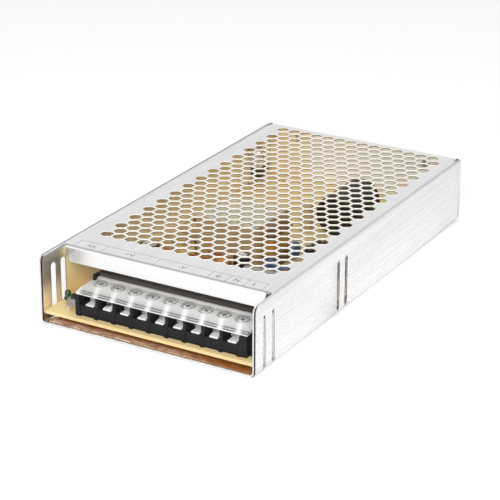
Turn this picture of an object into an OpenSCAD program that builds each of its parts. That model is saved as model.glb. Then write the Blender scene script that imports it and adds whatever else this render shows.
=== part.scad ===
// Slim enclosed switching power supply. A folded aluminium channel holds a tan
// circuit board and is closed by a honeycomb-perforated cover tray. A nine-way
// barrier terminal block with a clear hinged lid stands at the front.
// Millimetres, +Z up, origin at the centre of the underside, terminals at -Y.

/* [Case] */
// Length of the case, terminal end to back
case_l = 215; // [195:1:240]
// Height of the case
case_h = 34.5; // [32:0.5:42]
// Sheet thickness of the channel-shaped chassis
sheet_t = 1.5; // [1:0.1:2]
// Outside radius of the chassis bends
bend_r = 3; // [2.5:0.25:5]
// Radius of the upper front corners of the side walls
corner_r = 3; // [1:0.5:6]
// Room between the left wall and the terminal block, for trimmer and lamp
adjust_bay = 15.5; // [14:0.5:24]
// Gap between the terminal block and the right wall
block_gap = 2.6; // [1:0.2:8]
// Gap between the back wall and each side wall
seam_gap = 0.3; // [0.2:0.1:1]

/* [Wall slots] */
// Width of each upright slot in the side walls
slot_w = 3.2; // [2:0.2:4]
// Distance between the two slots of a pair
slot_gap = 7.8; // [5:0.2:12]
// Distance from the front edge to the first pair
slot_first = 13.3; // [11:0.1:20]
// Distance from the front edge to the second pair
slot_second = 83; // [60:1:110]
// Distance from the top of a wall down to the slots
slot_drop = 6.8; // [4:0.2:12]
// How far the slots cut into the base
slot_reach = 5; // [3:0.5:8]

/* [Mounting] */
// Spacing of the tapped mounting holes across the base
mount_dx = 50; // [30:1:70]
// Spacing of the tapped mounting holes along the base
mount_dy = 150; // [100:1:170]
// Diameter of the tapped mounting holes
mount_d = 3.3; // [2.5:0.1:5]
// Height of the drawn collar round each tapped hole, above the floor
collar_h = 1; // [0.4:0.1:1.6]
// Wall of the drawn collar
collar_wall = 1.2; // [0.8:0.1:2]

/* [Cover] */
// Sheet thickness of the cover
cover_t = 0.6; // [0.5:0.1:1.2]
// Outside radius of the cover bends
cover_bend = 1; // [0.8:0.1:2]
// Clearance between the cover and the side walls
cover_fit = 0.15; // [0.1:0.05:0.4]
// Distance from the front edge of the case to the cover
cover_setback = 16.2; // [14:0.2:20]
// Height of the folded front lip
lip_h = 7.7; // [5:0.1:8]
// Taper at each end of the front lip
lip_taper = 2; // [0.5:0.1:3]
// Length of the open relief at each corner of the cover
relief_l = 2.4; // [1.5:0.1:4]
// Depth of the side skirts
skirt_h = 6; // [4:0.5:9]
// Depth of the back skirt
back_skirt_h = 10; // [8:0.5:16]
// Distance from the centre line to each cover screw
cover_screw_x = 38; // [20:1:46]

/* [Honeycomb] */
// Pitch of the hexagonal holes across the cover
hex_pitch = 6.835; // [5:0.005:9]
// Pitch of the rows of holes
hex_row = 6.09; // [4.5:0.01:8]
// Width of a hole across its flats
hex_flats = 5.9; // [3:0.1:6]
// Offset of the perforated field from the centre line
hex_shift = 1.25; // [-2:0.25:2]
// Least plain margin at each side of the cover
hex_side = 6.4; // [4:0.1:12]
// Plain strip at the front of the cover, for the terminal legend
hex_front = 17.8; // [10:0.1:30]
// Plain margin at the back of the cover
hex_back = 3.3; // [3:0.1:10]

/* [Circuit board] */
// Height of the standoffs under the board
standoff_h = 3.9; // [3:0.1:5]
// Diameter of the standoffs
standoff_d = 6; // [5:0.25:7]
// Diameter of the swaged end of a standoff
swage_d = 4; // [3.5:0.1:4.5]
// Thickness of the board
board_t = 1.6; // [1:0.1:2]
// Gap round the edges of the board
board_gap = 0.5; // [0.3:0.1:1]
// Distance from the front edge of the case to the board
board_setback = 1; // [0.5:0.1:3]
// Thickness of the insulating film on the floor
film_t = 0.3; // [0.2:0.05:0.5]
// Plain border between the film and the chassis bends
film_border = 0.5; // [0.3:0.1:3]
// Width of the routed isolation slot under the transformer
isolation_w = 2; // [1:0.2:3]

/* [Machine screws] */
// Diameter of the small machine screws
screw_d = 2.9; // [2:0.1:3.2]
// Running clearance of a screw in its thread, on the diameter
thread_fit = 0.1; // [0.06:0.02:0.2]
// Clearance of a screw in a plain hole, on the diameter
hole_fit = 0.5; // [0.3:0.1:0.8]
// Diameter of the pan heads
head_d = 5.6; // [4.5:0.1:6]
// Height of the pan heads
head_h = 1.9; // [1.4:0.1:2.4]

/* [Terminal block] */
// Pitch of the terminals
pitch = 9.5; // [9:0.1:11]
// Distance from the front edge of the case to the block
block_setback = 4.5; // [3.5:0.1:6]
// Depth of the block, front to back
block_d = 23.5; // [22.5:0.1:26]
// Height of the cell floors above the board
cell_floor = 5.2; // [4.5:0.1:6]
// Thickness of the barriers between the cells
barrier_t = 1.6; // [1.2:0.1:2]
// Height of the barriers above the board at the front
barrier_h = 10.1; // [9.8:0.1:12]
// Thickness of the left end wall
end_wall = 2; // [1.6:0.1:3]
// Thickness of the right end wall
right_wall = 4; // [2.5:0.1:5]
// Width of the stepped foot at the right end
foot_w = 2.4; // [1.5:0.1:3]
// Depth of the solid bar behind the lid hinge
rear_bar = 5.6; // [4.6:0.1:6.2]
// Height of the rear bar and the hinge ears above the board
ear_h = 14.5; // [14.5:0.1:16]
// Distance from the front of the block to the terminal screws
screw_in = 11.1; // [10.4:0.1:11.6]
// Thickness of the terminal plates
plate_t = 0.8; // [0.6:0.1:1]
// Side gap of a terminal plate in its cell
plate_gap = 0.25; // [0.15:0.05:0.4]
// Width of the tongue that a terminal plate has at the front
tongue_w = 5.2; // [4:0.1:6.4]
// Length of that tongue
tongue_l = 6.5; // [4:0.1:6.8]
// Side of the square clamp washers
washer_w = 7; // [6:0.1:7.2]
// Thickness of the clamp washers
washer_t = 1; // [0.7:0.1:1.1]
// Diameter of the terminal screws
terminal_d = 3.5; // [3:0.1:4]
// Diameter of the terminal screw heads
terminal_head_d = 6; // [5:0.1:6.4]
// Height of the terminal screw heads
terminal_head_h = 2.2; // [1.8:0.1:2.4]

/* [Terminal lid] */
// Thickness of the clear lid
lid_t = 1.4; // [1:0.1:1.6]
// Slope of the closed lid, front lower than back, in degrees
lid_slope = 4.5; // [3.5:0.1:5]
// Gap between the closed lid and the barriers
lid_gap = 0.2; // [0.1:0.05:0.5]
// Diameter of the hinge knuckle along the back edge
knuckle_d = 3; // [2.6:0.1:3.2]
// Diameter of the hinge pins
hinge_d = 2.4; // [1.6:0.1:2.6]
// Radial clearance of the hinge pins and of the trimmer rotor
run_fit = 0.05; // [0.02:0.01:0.1]
// Diameter of the screwdriver holes
access_d = 5; // [4:0.1:6]
// Width of the raised rim round each screwdriver hole
rim_w = 0.8; // [0.5:0.1:1]
// Height of the raised rims
rim_h = 0.5; // [0.3:0.1:0.8]

/* [Trimmer and lamp] */
// Side of the square trimmer body
trimmer_w = 5.2; // [5:0.1:7.5]
// Height of the trimmer body
trimmer_h = 3.2; // [3:0.1:6]
// Height of the trimmer body above the board, on its legs
trimmer_lift = 3.2; // [1:0.1:4]
// Diameter of the turning rotor
rotor_d = 3.8; // [3:0.1:4.4]
// Diameter of the indicator lamp
lamp_d = 3; // [2:0.1:4]
// Height of the lamp body
lamp_h = 4.6; // [3.5:0.1:6]
// Height of the lamp above the board, on its leads
lamp_lift = 3; // [1:0.1:5]

/* [Tall parts] */
// Air left between the tallest parts and the cover
headroom = 3.5; // [2:0.1:6]
// Diameter of the bulk capacitor, which lies on the board
bulk_d = 21; // [18:0.5:23]
// Length of the bulk capacitor
bulk_l = 31; // [26:0.5:34]
// Width of the transformer core across the board
core_w = 34; // [28:0.5:38]
// Length of the transformer core
core_l = 32; // [31:0.5:36]
// Thickness of the legs and yokes of the transformer core
yoke_t = 5; // [4:0.25:6]
// Width of the wound part of the transformer
bobbin_w = 46; // [43:0.5:48]
// Diameter of the output capacitors
output_cap_d = 10; // [8:0.5:11]
// Height of the output capacitors
output_cap_h = 16; // [12:0.5:20]
// Diameter of the output choke core
choke_d = 22; // [18:0.5:24]
// Diameter of the line choke core
line_choke_d = 20; // [16:0.5:22]
// Thickness of a layer of winding on a choke
wire_t = 1.3; // [0.8:0.1:1.6]
// Diameter of the blue disc capacitors
disc_d = 9; // [6:0.5:10]
// Diameter of the surge and inrush discs
surge_d = 12; // [9:0.5:13]
// Length of the heat bar at the right wall
heat_bar_l = 44; // [40:1:50]
// Length of the short heat bar at the left wall
short_bar_l = 13; // [12:0.5:20]
// Thickness of the heat bar at the right wall
heat_bar_t = 4; // [3:0.25:5]
// Thickness of the short heat bar
short_bar_t = 1.5; // [1:0.25:4]

/* [Hidden] */
$fn = 48;

// Terminal block and case widths: the case is as wide as the block needs
cells = 9;
block_w = end_wall + cells * pitch + right_wall + foot_w;
case_w = 2 * sheet_t + adjust_bay + block_w + block_gap;
half_w = case_w / 2;
half_l = case_l / 2;
wall_in = half_w - sheet_t;
front_y = -half_l;

// Pairs of wall slots, by wall: both walls at the front, the right one halfway too
slot_pairs = [[-1, slot_first], [1, slot_first], [1, slot_second]];

// Back wall of the chassis, which lies just inside the back skirt of the cover
back_face = half_l - cover_t;
back_in = back_face - sheet_t;
back_wall_top = case_h - cover_t - seam_gap;
cover_screw_z = case_h - back_skirt_h / 2;

// Levels: floor of the chassis, underside and top of the board, tallest parts
floor_z = sheet_t;
board_z = floor_z + standoff_h;
deck_z = board_z + board_t;
tall_z = case_h - cover_t - headroom;

// Cover outline and its perforated field
cover_half = wall_in - cover_fit;
flat_half = cover_half - cover_bend;
cover_front = front_y + cover_setback;
field_w = 2 * (cover_half - hex_side);
hex_tip = hex_flats / sqrt(3);
hex_cols = floor((field_w - hex_flats - hex_pitch / 2) / hex_pitch) + 1;
field_back = half_l - hex_back - hex_tip;
field_front = cover_front + hex_front + hex_tip;
hex_rows = floor((field_back - field_front) / hex_row) + 1;
hex_left = hex_shift - (hex_cols - 0.5) * hex_pitch / 2;

// Board outline and its four screws, two beside the front parts, two at the back
board_half = wall_in - board_gap;
board_front = front_y + board_setback;
board_back = back_in - board_gap;
standoff_front = 36;
standoff_side = 6;
standoff_back = 8;
standoff_inset = 16;
board_screw_at = [
    [-(wall_in - standoff_side), front_y + standoff_front],
    [wall_in - standoff_side, front_y + standoff_front],
    [-(wall_in - standoff_inset), back_in - standoff_back],
    [wall_in - standoff_inset, back_in - standoff_back],
];
board_screw_l = board_t + standoff_h;
mount_at = [for (x = [-1, 1], y = [-1, 1]) [x * mount_dx / 2, y * mount_dy / 2]];
mount_collar_d = mount_d + 2 * collar_wall;
film_hole_fit = 1;

// Terminal block: cell places, floors, rear bar and the lid hinge before it
block_left = -wall_in + adjust_bay;
block_right = block_left + end_wall + cells * pitch + right_wall;
block_front = front_y + block_setback;
block_back = block_front + block_d;
bar_front = block_back - rear_bar;
cell_z = deck_z + cell_floor;
screw_y = block_front + screw_in;
knuckle_gap = 0.35;
knuckle_room = knuckle_d / 2 + knuckle_gap;
hinge_y = bar_front - knuckle_room;
lid_l = hinge_y - block_front;
barrier_top = deck_z + barrier_h;
hinge_z = barrier_top + lid_gap + lid_t / 2 + lid_l * tan(lid_slope);
ear_front = 1.8;
lid_shoulder = ear_front + 1.3;
groove_step = 1.3;
bar_groove = 0.6;
end_corner = 1.2;
wash_lift = 0.05;
washer_z = cell_z + plate_t + wash_lift;
blind_floor = 1.5;
terminal_l = washer_t + plate_t + cell_floor - blind_floor;
rib_proud = 0.5;
rib_w = 1;
function cell_x(i) = block_left + end_wall + (i + 0.5) * pitch;
function under_lid(y) = barrier_top + (y - block_front) * tan(lid_slope);

// Trimmer and lamp stand in the bay beside the block
trimmer_gap = 0.6;
trimmer_in = 3.7;
trimmer_x = block_left - trimmer_gap - trimmer_w / 2;
trimmer_y = block_front + trimmer_in;
trimmer_leg = 2;
rotor_rise = 1.2;
rotor_depth = 2;
lamp_aside = 6.1;
lamp_in = 7;
lamp_x = trimmer_x - lamp_aside;
lamp_y = block_front + lamp_in;
lamp_collar = 0.4;
lead_d = 0.7;

// Parts on the board: across from the centre line, or in from the nearer wall,
// and back from the front edge
function from_left(inset) = inset - wall_in;
function from_right(inset) = wall_in - inset;
bulk_at = [from_right(37.6), 179];
transformer_at = [-9, 103.5];
choke_at = [-8, 66.5];
line_choke_at = [from_right(20), 107.5];
y_cap_at = [[from_right(36), 80.5, 0], [from_right(26.5), 76.5, 0], [from_right(37), 105.5, 90]];
y_cap_t = 3.6;
x_cap_at = [from_right(31), 59.5];
x_cap_size = [18, 9, 15];
varistor_at = [from_right(20), 67.5];
varistor_t = 4;
thermistor_at = [from_right(25), 42];
thermistor_t = 4.6;
fuse_at = [from_right(14), 42.5];
output_cap_at = [[from_left(12), 43.5], [from_left(24), 43.5], [from_left(36), 43.5], [from_left(20), 60.5]];
small_cap_at = [[9, 71.5, 8, 16], [2.5, 148.5, 6.3, 14.5]];
chip_at = [0, 39.5];
opto_at = [[18, 37], [18, 46]];
resistor_at = [[from_left(12), 88], [from_left(12), 100], [from_left(12), 112]];
film_cap_at = [from_right(14), 84];
film_cap_size = [13, 6, 11];
bridge_inset = 9;
bridge_back = 133;
heat_bar_back = 24;
short_bar_back = 17;

// Rectangle with round corners, centred
module rounded_rect(w, d, r) {
    square([w - 2 * r, d], center = true);
    square([w, d - 2 * r], center = true);
    for (x = [-1, 1], y = [-1, 1])
        translate([x * (w / 2 - r), y * (d / 2 - r)])
            circle(r);
}

// Quarter of a bent sheet, in the corner between +X and -Y of the bend centre
module quarter_bend(r, t) {
    intersection() {
        difference() {
            circle(r);
            circle(r - t);
        }
        translate([0, -r])
            square(r);
    }
}

// Sweeps an outline in Y and Z along X, centred
module along_x(length) {
    rotate([90, 0, 90])
        linear_extrude(length, center = true)
            children();
}

// Sweeps an outline in Y and Z along X, between two places
module span_x(start, end) {
    translate([(start + end) / 2, 0, 0])
        along_x(end - start)
            children();
}

// Sweeps an outline in X and Z along Y, from the given start
module along_y(start, length) {
    translate([0, start + length, 0])
        rotate([90, 0, 0])
            linear_extrude(length)
                children();
}

// Place on the board, given across from the centre and back from the front
module on_board(at) {
    translate([at[0], front_y + at[1], deck_z])
        children();
}

// Pan-head screw with a cross recess, bearing face at z = 0 and shank below
module pan_screw(head_w, head_t, shank_w, length) {
    crown = head_t / 2;
    dome_r = (head_w * head_w / 4 + crown * crown) / (2 * crown);
    slot = head_w * 0.16;
    difference() {
        intersection() {
            cylinder(h = head_t, d = head_w);
            translate([0, 0, head_t - dome_r])
                sphere(dome_r, $fn = 96);
        }
        for (turn = [0, 90])
            rotate(turn)
                translate([-slot / 2, -head_w * 0.32, head_t * 0.4])
                    cube([slot, head_w * 0.64, head_t]);
    }
    translate([0, 0, -length])
        cylinder(h = length, d = shank_w);
}

// Channel-shaped chassis: base, side walls and folded back wall
module chassis() {
    color("#d6d8da")
        difference() {
            union() {
                difference() {
                    along_y(front_y, case_l)
                        channel_outline();
                    translate([-half_w - 1, back_face - bend_r, -1])
                        cube([case_w + 2, cover_t + bend_r + 1, bend_r + 1]);
                }
                along_x(case_w - 2 * bend_r)
                    translate([back_face - bend_r, bend_r])
                        quarter_bend(bend_r, sheet_t);
                translate([-wall_in + seam_gap, back_in, bend_r])
                    cube([2 * (wall_in - seam_gap), sheet_t, back_wall_top - bend_r]);
                for (at = mount_at)
                    translate([at[0], at[1], 0])
                        cylinder(h = floor_z + collar_h, d = mount_collar_d);
            }
            for (at = mount_at)
                translate([at[0], at[1], -1])
                    cylinder(h = floor_z + collar_h + 2, d = mount_d);
            for (at = board_screw_at)
                translate([at[0], at[1], -1])
                    cylinder(h = floor_z + 2, d = swage_d + thread_fit);
            for (side = [-1, 1])
                translate([side * cover_screw_x, back_in - 1, cover_screw_z])
                    rotate([-90, 0, 0])
                        cylinder(h = sheet_t + 2, d = screw_d + thread_fit);
            for (pair = slot_pairs, one = [-0.5, 0.5])
                translate([pair[0] * half_w, front_y + pair[1] + one * slot_gap, 0])
                    wall_slot();
            along_x(case_w + 2)
                translate([front_y, case_h])
                    difference() {
                        translate([-1, -corner_r])
                            square(corner_r + 1);
                        translate([corner_r, -corner_r])
                            circle(corner_r);
                    }
        }
}

module channel_outline() {
    translate([-(half_w - bend_r), 0])
        square([case_w - 2 * bend_r, sheet_t]);
    for (side = [0, 1])
        mirror([side, 0]) {
            translate([half_w - bend_r, bend_r])
                quarter_bend(bend_r, sheet_t);
            translate([wall_in, bend_r])
                square([sheet_t, case_h - bend_r]);
        }
}

// Upright slot with a round top, open through the bend into the base
module wall_slot() {
    top = case_h - slot_drop - slot_w / 2;
    translate([-slot_reach, -slot_w / 2, -1])
        cube([2 * slot_reach, slot_w, top + 1]);
    translate([-slot_reach, 0, top])
        rotate([0, 90, 0])
            cylinder(h = 2 * slot_reach, d = slot_w);
}

// Perforated cover tray: flat top, side skirts, tapered front lip, back skirt
module cover() {
    skirt_start = cover_front + relief_l;
    skirt_l = back_in - relief_l - skirt_start;
    lip_half = flat_half - relief_l / 2;
    color("#e2e3e6")
        difference() {
            union() {
                translate([0, 0, case_h - cover_t])
                    linear_extrude(cover_t)
                        difference() {
                            translate([-flat_half, cover_front + cover_bend])
                                square([2 * flat_half, half_l - cover_front - 2 * cover_bend]);
                            honeycomb();
                        }
                along_y(skirt_start, skirt_l)
                    for (side = [0, 1])
                        mirror([side, 0])
                            translate([flat_half, case_h - cover_bend])
                                folded_edge(skirt_h);
                along_x(2 * lip_half)
                    translate([cover_front + cover_bend, case_h - cover_bend])
                        mirror([1, 0])
                            folded_edge(cover_bend);
                along_y(cover_front, cover_t)
                    translate([0, case_h - cover_bend])
                        polygon([
                            [-lip_half, 0], [lip_half, 0],
                            [lip_half - lip_taper, cover_bend - lip_h],
                            [lip_taper - lip_half, cover_bend - lip_h],
                        ]);
                along_x(2 * lip_half)
                    translate([half_l - cover_bend, case_h - cover_bend])
                        folded_edge(back_skirt_h);
            }
            for (side = [-1, 1])
                translate([side * cover_screw_x, back_face - 1, cover_screw_z])
                    rotate([-90, 0, 0])
                        cylinder(h = cover_t + 2, d = screw_d + hole_fit);
        }
}

// Bend at the edge of the cover and the skirt below it, of the given depth
module folded_edge(depth) {
    mirror([0, 1])
        quarter_bend(cover_bend, cover_t);
    if (depth > cover_bend)
        translate([cover_bend - cover_t, cover_bend - depth])
            square([cover_t, depth - cover_bend]);
}

// Field of hexagonal holes in staggered rows, points towards the front
module honeycomb() {
    for (row = [0 : hex_rows - 1], col = [0 : hex_cols - 1])
        translate([hex_left + (col + (row % 2) / 2) * hex_pitch, field_back - row * hex_row])
            rotate(30)
                circle(hex_tip, $fn = 6);
}

module cover_screws() {
    color("#c9c9c4")
        for (side = [-1, 1])
            translate([side * cover_screw_x, half_l, cover_screw_z])
                rotate([-90, 0, 0])
                    pan_screw(head_d, head_h, screw_d, cover_t + 2 * sheet_t);
}

// Amber insulating film on the floor, with windows for standoffs and collars
module insulating_film() {
    half = half_w - bend_r - film_border;
    start = board_front + film_border;
    color("#8a4a1e")
        translate([0, 0, floor_z])
            linear_extrude(film_t)
                difference() {
                    translate([-half, start])
                        square([2 * half, back_face - bend_r - film_border - start]);
                    for (at = board_screw_at)
                        translate(at)
                            circle(d = standoff_d + film_hole_fit);
                    for (at = mount_at)
                        translate(at)
                            circle(d = mount_collar_d + film_hole_fit);
                    for (pair = slot_pairs)
                        translate([pair[0] * half_w, front_y + pair[1]])
                            square([2 * (slot_reach + film_border), slot_gap + 2 * slot_w],
                                center = true);
                }
}

module board_standoffs() {
    color("#b9bcc0")
        for (at = board_screw_at)
            translate([at[0], at[1], 0])
                difference() {
                    union() {
                        translate([0, 0, floor_z])
                            cylinder(h = standoff_h, d = standoff_d);
                        cylinder(h = floor_z, d = swage_d);
                    }
                    translate([0, 0, -1])
                        cylinder(h = board_z + 2, d = screw_d + thread_fit);
                }
}

module board_screws() {
    color("#c9c9c4")
        for (at = board_screw_at)
            translate([at[0], at[1], deck_z])
                pan_screw(head_d, head_h, screw_d, board_screw_l);
}

// Single-sided board, with an isolation slot routed under the transformer
module circuit_board() {
    color("#dcc896")
        translate([0, 0, board_z])
            linear_extrude(board_t)
                difference() {
                    translate([-board_half, board_front])
                        square([2 * board_half, board_back - board_front]);
                    for (at = board_screw_at)
                        translate(at)
                            circle(d = screw_d + hole_fit);
                    translate([transformer_at[0] - bobbin_w / 2,
                            front_y + transformer_at[1] - isolation_w / 2])
                        square([core_w / 2, isolation_w]);
                }
}

// Moulded barrier strip: floor, end walls, barriers, grooved rear bar, hinge ears
module terminal_base() {
    strip_w = block_right - block_left;
    strip_mid = (block_left + block_right) / 2;
    color("#1d1e20")
        difference() {
            union() {
                span_x(block_left, block_right) {
                    translate([block_front, deck_z])
                        square([block_d, cell_floor]);
                    translate([bar_front, deck_z])
                        square([rear_bar, ear_h]);
                }
                for (i = [1 : cells - 1])
                    translate([cell_x(i) - pitch / 2, 0, 0])
                        along_x(barrier_t)
                            barrier_outline();
                span_x(block_left, block_left + end_wall)
                    end_outline();
                span_x(block_right - right_wall, block_right)
                    end_outline();
                span_x(block_right, block_right + foot_w)
                    translate([block_front + foot_w, deck_z])
                        square([block_d - 2 * foot_w, barrier_h - foot_w]);
                for (i = [0 : cells])
                    translate([cell_x(i) - pitch / 2, 0, 0]) {
                        along_x(rib_w)
                            translate([block_front - rib_proud, deck_z])
                                square([2 * rib_proud, cell_floor]);
                        along_x(2 * rib_w)
                            translate([block_front - 2 * rib_proud, deck_z])
                                square([3 * rib_proud, rib_w]);
                    }
            }
            for (i = [0 : cells - 1])
                translate([cell_x(i), screw_y, deck_z + blind_floor / 2])
                    cylinder(h = cell_floor + 1, d = terminal_d + 2 * thread_fit);
            translate([strip_mid, hinge_y, hinge_z])
                rotate([0, 90, 0])
                    cylinder(h = strip_w + 2, d = hinge_d + 2 * run_fit, center = true);
            for (share = [1, 2])
                span_x(block_left - 1, block_right + 1)
                    translate([bar_front + share * rear_bar / 3, deck_z + ear_h])
                        square([bar_groove, 2 * bar_groove], center = true);
        }
}

// Barrier between two cells, with a sloping top under the lid and room for the knuckle
module barrier_outline() {
    knuckle_floor = hinge_z - knuckle_room;
    step_y = hinge_y - knuckle_room - lid_gap;
    polygon([
        [block_front, deck_z],
        [bar_front, deck_z],
        [bar_front, knuckle_floor],
        [step_y, knuckle_floor],
        [step_y, under_lid(step_y)],
        [block_front, barrier_top],
    ]);
}

// End wall with a round front corner and the raised ear that carries the lid hinge
module end_outline() {
    front = block_front - rib_proud;
    back = hinge_y - ear_front;
    polygon([
        [front, deck_z],
        [block_back, deck_z],
        [block_back, deck_z + ear_h],
        [back, deck_z + ear_h],
        [back, under_lid(back)],
        [front + end_corner, barrier_top],
        [front, barrier_top - end_corner],
    ]);
    translate([front + end_corner, barrier_top - end_corner])
        circle(end_corner);
}

// Tinned plates on the cell floors, each with a tongue in front of its screw
module terminal_plates() {
    color("#d9dadc")
        for (i = [0 : cells - 1])
            translate([cell_x(i), 0, cell_z])
                linear_extrude(plate_t)
                    difference() {
                        plate_outline();
                        translate([0, screw_y])
                            circle(d = terminal_d + 2 * thread_fit);
                    }
}

// Outline of one plate, with sloping shoulders between the tongue and the clamped part
module plate_outline() {
    half_plate = pitch / 2 - barrier_t / 2 - plate_gap;
    half_tongue = tongue_w / 2;
    front = block_front + rib_proud;
    back = bar_front - plate_gap;
    shoulder = front + tongue_l;
    neck = shoulder - (half_plate - half_tongue);
    polygon([
        [-half_tongue, front], [half_tongue, front],
        [half_tongue, neck], [half_plate, shoulder],
        [half_plate, back], [-half_plate, back],
        [-half_plate, shoulder], [-half_tongue, neck],
    ]);
}

// Square clamp washer with clipped corners
module terminal_washer(i) {
    color("#cfd0d2")
        translate([cell_x(i), screw_y, washer_z])
            difference() {
                intersection() {
                    translate([-washer_w / 2, -washer_w / 2, 0])
                        cube([washer_w, washer_w, washer_t]);
                    cylinder(h = washer_t, d = washer_w * 1.25);
                }
                translate([0, 0, -1])
                    cylinder(h = washer_t + 2, d = terminal_d + thread_fit);
            }
}

module terminal_screw(i) {
    color("#d4d4d2")
        translate([cell_x(i), screw_y, washer_z + washer_t])
            pan_screw(terminal_head_d, terminal_head_h, terminal_d, terminal_l);
}

// Clear lid, hinged on two pins between the ears and lying over both end walls,
// with a rimmed screwdriver hole over each screw and two grooves along its front
module terminal_lid() {
    ear_left = block_left + end_wall + lid_gap;
    ear_right = block_right - right_wall - lid_gap;
    pin_l = end_wall - lid_gap;
    hole_y = screw_y - hinge_y;
    color("#e8eef0", 0.4)
        translate([0, hinge_y, hinge_z])
            rotate([lid_slope, 0, 0])
                difference() {
                    union() {
                        span_x(ear_left, ear_right) {
                            translate([-lid_l, -lid_t / 2])
                                square([lid_l, lid_t]);
                            circle(d = knuckle_d);
                        }
                        span_x(block_left, block_right)
                            translate([-lid_l, -lid_t / 2])
                                square([lid_l - lid_shoulder, lid_t]);
                        span_x(ear_left - pin_l, ear_right + pin_l)
                            circle(d = hinge_d);
                        for (i = [0 : cells - 1])
                            translate([cell_x(i), hole_y, 0])
                                cylinder(h = lid_t / 2 + rim_h, d = access_d + 2 * rim_w);
                    }
                    for (i = [0 : cells - 1])
                        translate([cell_x(i), hole_y, -lid_t])
                            cylinder(h = 2 * lid_t + rim_h, d = access_d);
                    for (groove = [1, 2])
                        span_x(block_left - 1, block_right + 1)
                            translate([groove * groove_step - lid_l, lid_t / 4])
                                square([rim_h, lid_t]);
                }
}

// Grey trimmer on three legs, with a round well for its rotor
module trimmer_body() {
    color("#8f9296")
        translate([trimmer_x, trimmer_y, deck_z]) {
            difference() {
                translate([0, 0, trimmer_lift])
                    linear_extrude(trimmer_h)
                        rounded_rect(trimmer_w, trimmer_w, 0.5);
                translate([0, 0, trimmer_lift + trimmer_h - rotor_depth])
                    cylinder(h = rotor_depth + 1, d = rotor_d + 2 * run_fit);
            }
            for (leg = [[-1, -1], [1, -1], [0, 1]])
                translate(leg * trimmer_leg)
                    cylinder(h = trimmer_lift + 0.5, d = lead_d);
        }
}

module trimmer_rotor() {
    rotor_h = rotor_depth + rotor_rise - wash_lift;
    color("#232426")
        translate([trimmer_x, trimmer_y, deck_z + trimmer_lift + trimmer_h - rotor_depth + wash_lift])
            difference() {
                cylinder(h = rotor_h, d = rotor_d);
                translate([-rotor_d, -rotor_rise / 4, rotor_h - rotor_rise * 0.7])
                    cube([2 * rotor_d, rotor_rise / 2, rotor_h]);
            }
}

// Round indicator lamp with a collar, on two leads
module status_lamp() {
    color("#3f7f33")
        translate([lamp_x, lamp_y, deck_z]) {
            translate([0, 0, lamp_lift]) {
                cylinder(h = lamp_h - lamp_d / 2, d = lamp_d);
                cylinder(h = 2 * lamp_collar, d = lamp_d + 2 * lamp_collar);
                translate([0, 0, lamp_h - lamp_d / 2])
                    sphere(d = lamp_d);
            }
            for (side = [-1, 1])
                translate([side * lamp_d * 0.4, 0, 0])
                    cylinder(h = lamp_lift + 0.5, d = lead_d);
        }
}

// Electrolytic can: crimped foot, rounded shoulder and sunk top
can_crimp = 0.5;
can_crimp_z = 2;
can_shoulder = 0.8;
can_rim = 1.5;

module can(d, h) {
    r = d / 2;
    rotate_extrude()
        polygon([
            [0, 0], [r - can_crimp, 0], [r, can_crimp], [r, can_crimp_z - can_crimp],
            [r - can_crimp, can_crimp_z], [r, can_crimp_z + can_crimp],
            [r, h - can_shoulder], [r - can_shoulder, h], [r - can_rim, h],
            [r - can_rim, h - can_crimp], [0, h - can_crimp],
        ]);
}

// Can lying along the board, its foot to the back and its two leads soldered to pins there
bulk_lift = 0.3;
bulk_lead_out = 1.5;
bulk_lead_step = 5;
bulk_lead_drop = 3;
bulk_pin_d = 1.2;

module lying_can(d, l) {
    axis_z = d / 2 + bulk_lift;
    lead_z = axis_z - bulk_lead_drop;
    translate([0, 0, axis_z])
        rotate([90, 0, 0])
            can(d, l);
    for (side = [-1, 1])
        translate([side * bulk_lead_step, 0, 0]) {
            translate([0, -bulk_lift, lead_z])
                rotate([-90, 0, 0])
                    cylinder(h = bulk_lift + bulk_lead_out, d = lead_d);
            translate([0, bulk_lead_out, 0])
                cylinder(h = lead_z + bulk_pin_d, d = bulk_pin_d);
        }
}

module bulk_capacitor() {
    color("#1b1718")
        on_board(bulk_at)
            lying_can(bulk_d, bulk_l);
}

module output_capacitors() {
    color("#1b1c20")
        for (at = output_cap_at)
            on_board(at)
                can(output_cap_d, output_cap_h);
}

module small_capacitors() {
    color("#16171a")
        for (at = small_cap_at)
            on_board(at)
                can(at[2], at[3]);
}

// Dipped disc standing across the board on two leads
disc_lift = 3.5;

module disc_part(d, t) {
    translate([0, 0, disc_lift + d / 2])
        rotate([90, 0, 0])
            rotate_extrude() {
                translate([0, -t / 2])
                    square([(d - t) / 2, t]);
                intersection() {
                    translate([(d - t) / 2, 0])
                        circle(d = t);
                    translate([0, -t])
                        square([d, 2 * t]);
                }
            }
    for (side = [-1, 1])
        translate([side * d * 0.28, 0, 0])
            cylinder(h = disc_lift + d / 4, d = lead_d);
}

module y_capacitors() {
    color("#2d5f9e")
        for (at = y_cap_at)
            on_board(at)
                rotate(at[2])
                    disc_part(disc_d, y_cap_t);
}

module surge_varistor() {
    color("#a8452a")
        on_board(varistor_at)
            disc_part(surge_d, varistor_t);
}

module inrush_thermistor() {
    color("#2b3a33")
        on_board(thermistor_at)
            disc_part(surge_d, thermistor_t);
}

// Box-shaped part with round edges, standing on two small feet
box_feet = 0.5;
box_corner = 0.8;
film_corner = 2;

module box_part(size, r) {
    translate([0, 0, box_feet])
        linear_extrude(size[2] - box_feet)
            rounded_rect(size[0], size[1], r);
    for (side = [-1, 1])
        translate([side * size[0] * 0.4, 0, box_feet / 2])
            cube([size[0] * 0.12, size[1] * 0.8, box_feet], center = true);
}

module x_capacitor() {
    color("#b9bab6")
        on_board(x_cap_at)
            box_part(x_cap_size, box_corner);
}

module film_capacitor() {
    color("#8c3d24")
        on_board(film_cap_at)
            box_part(film_cap_size, film_corner);
}

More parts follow.
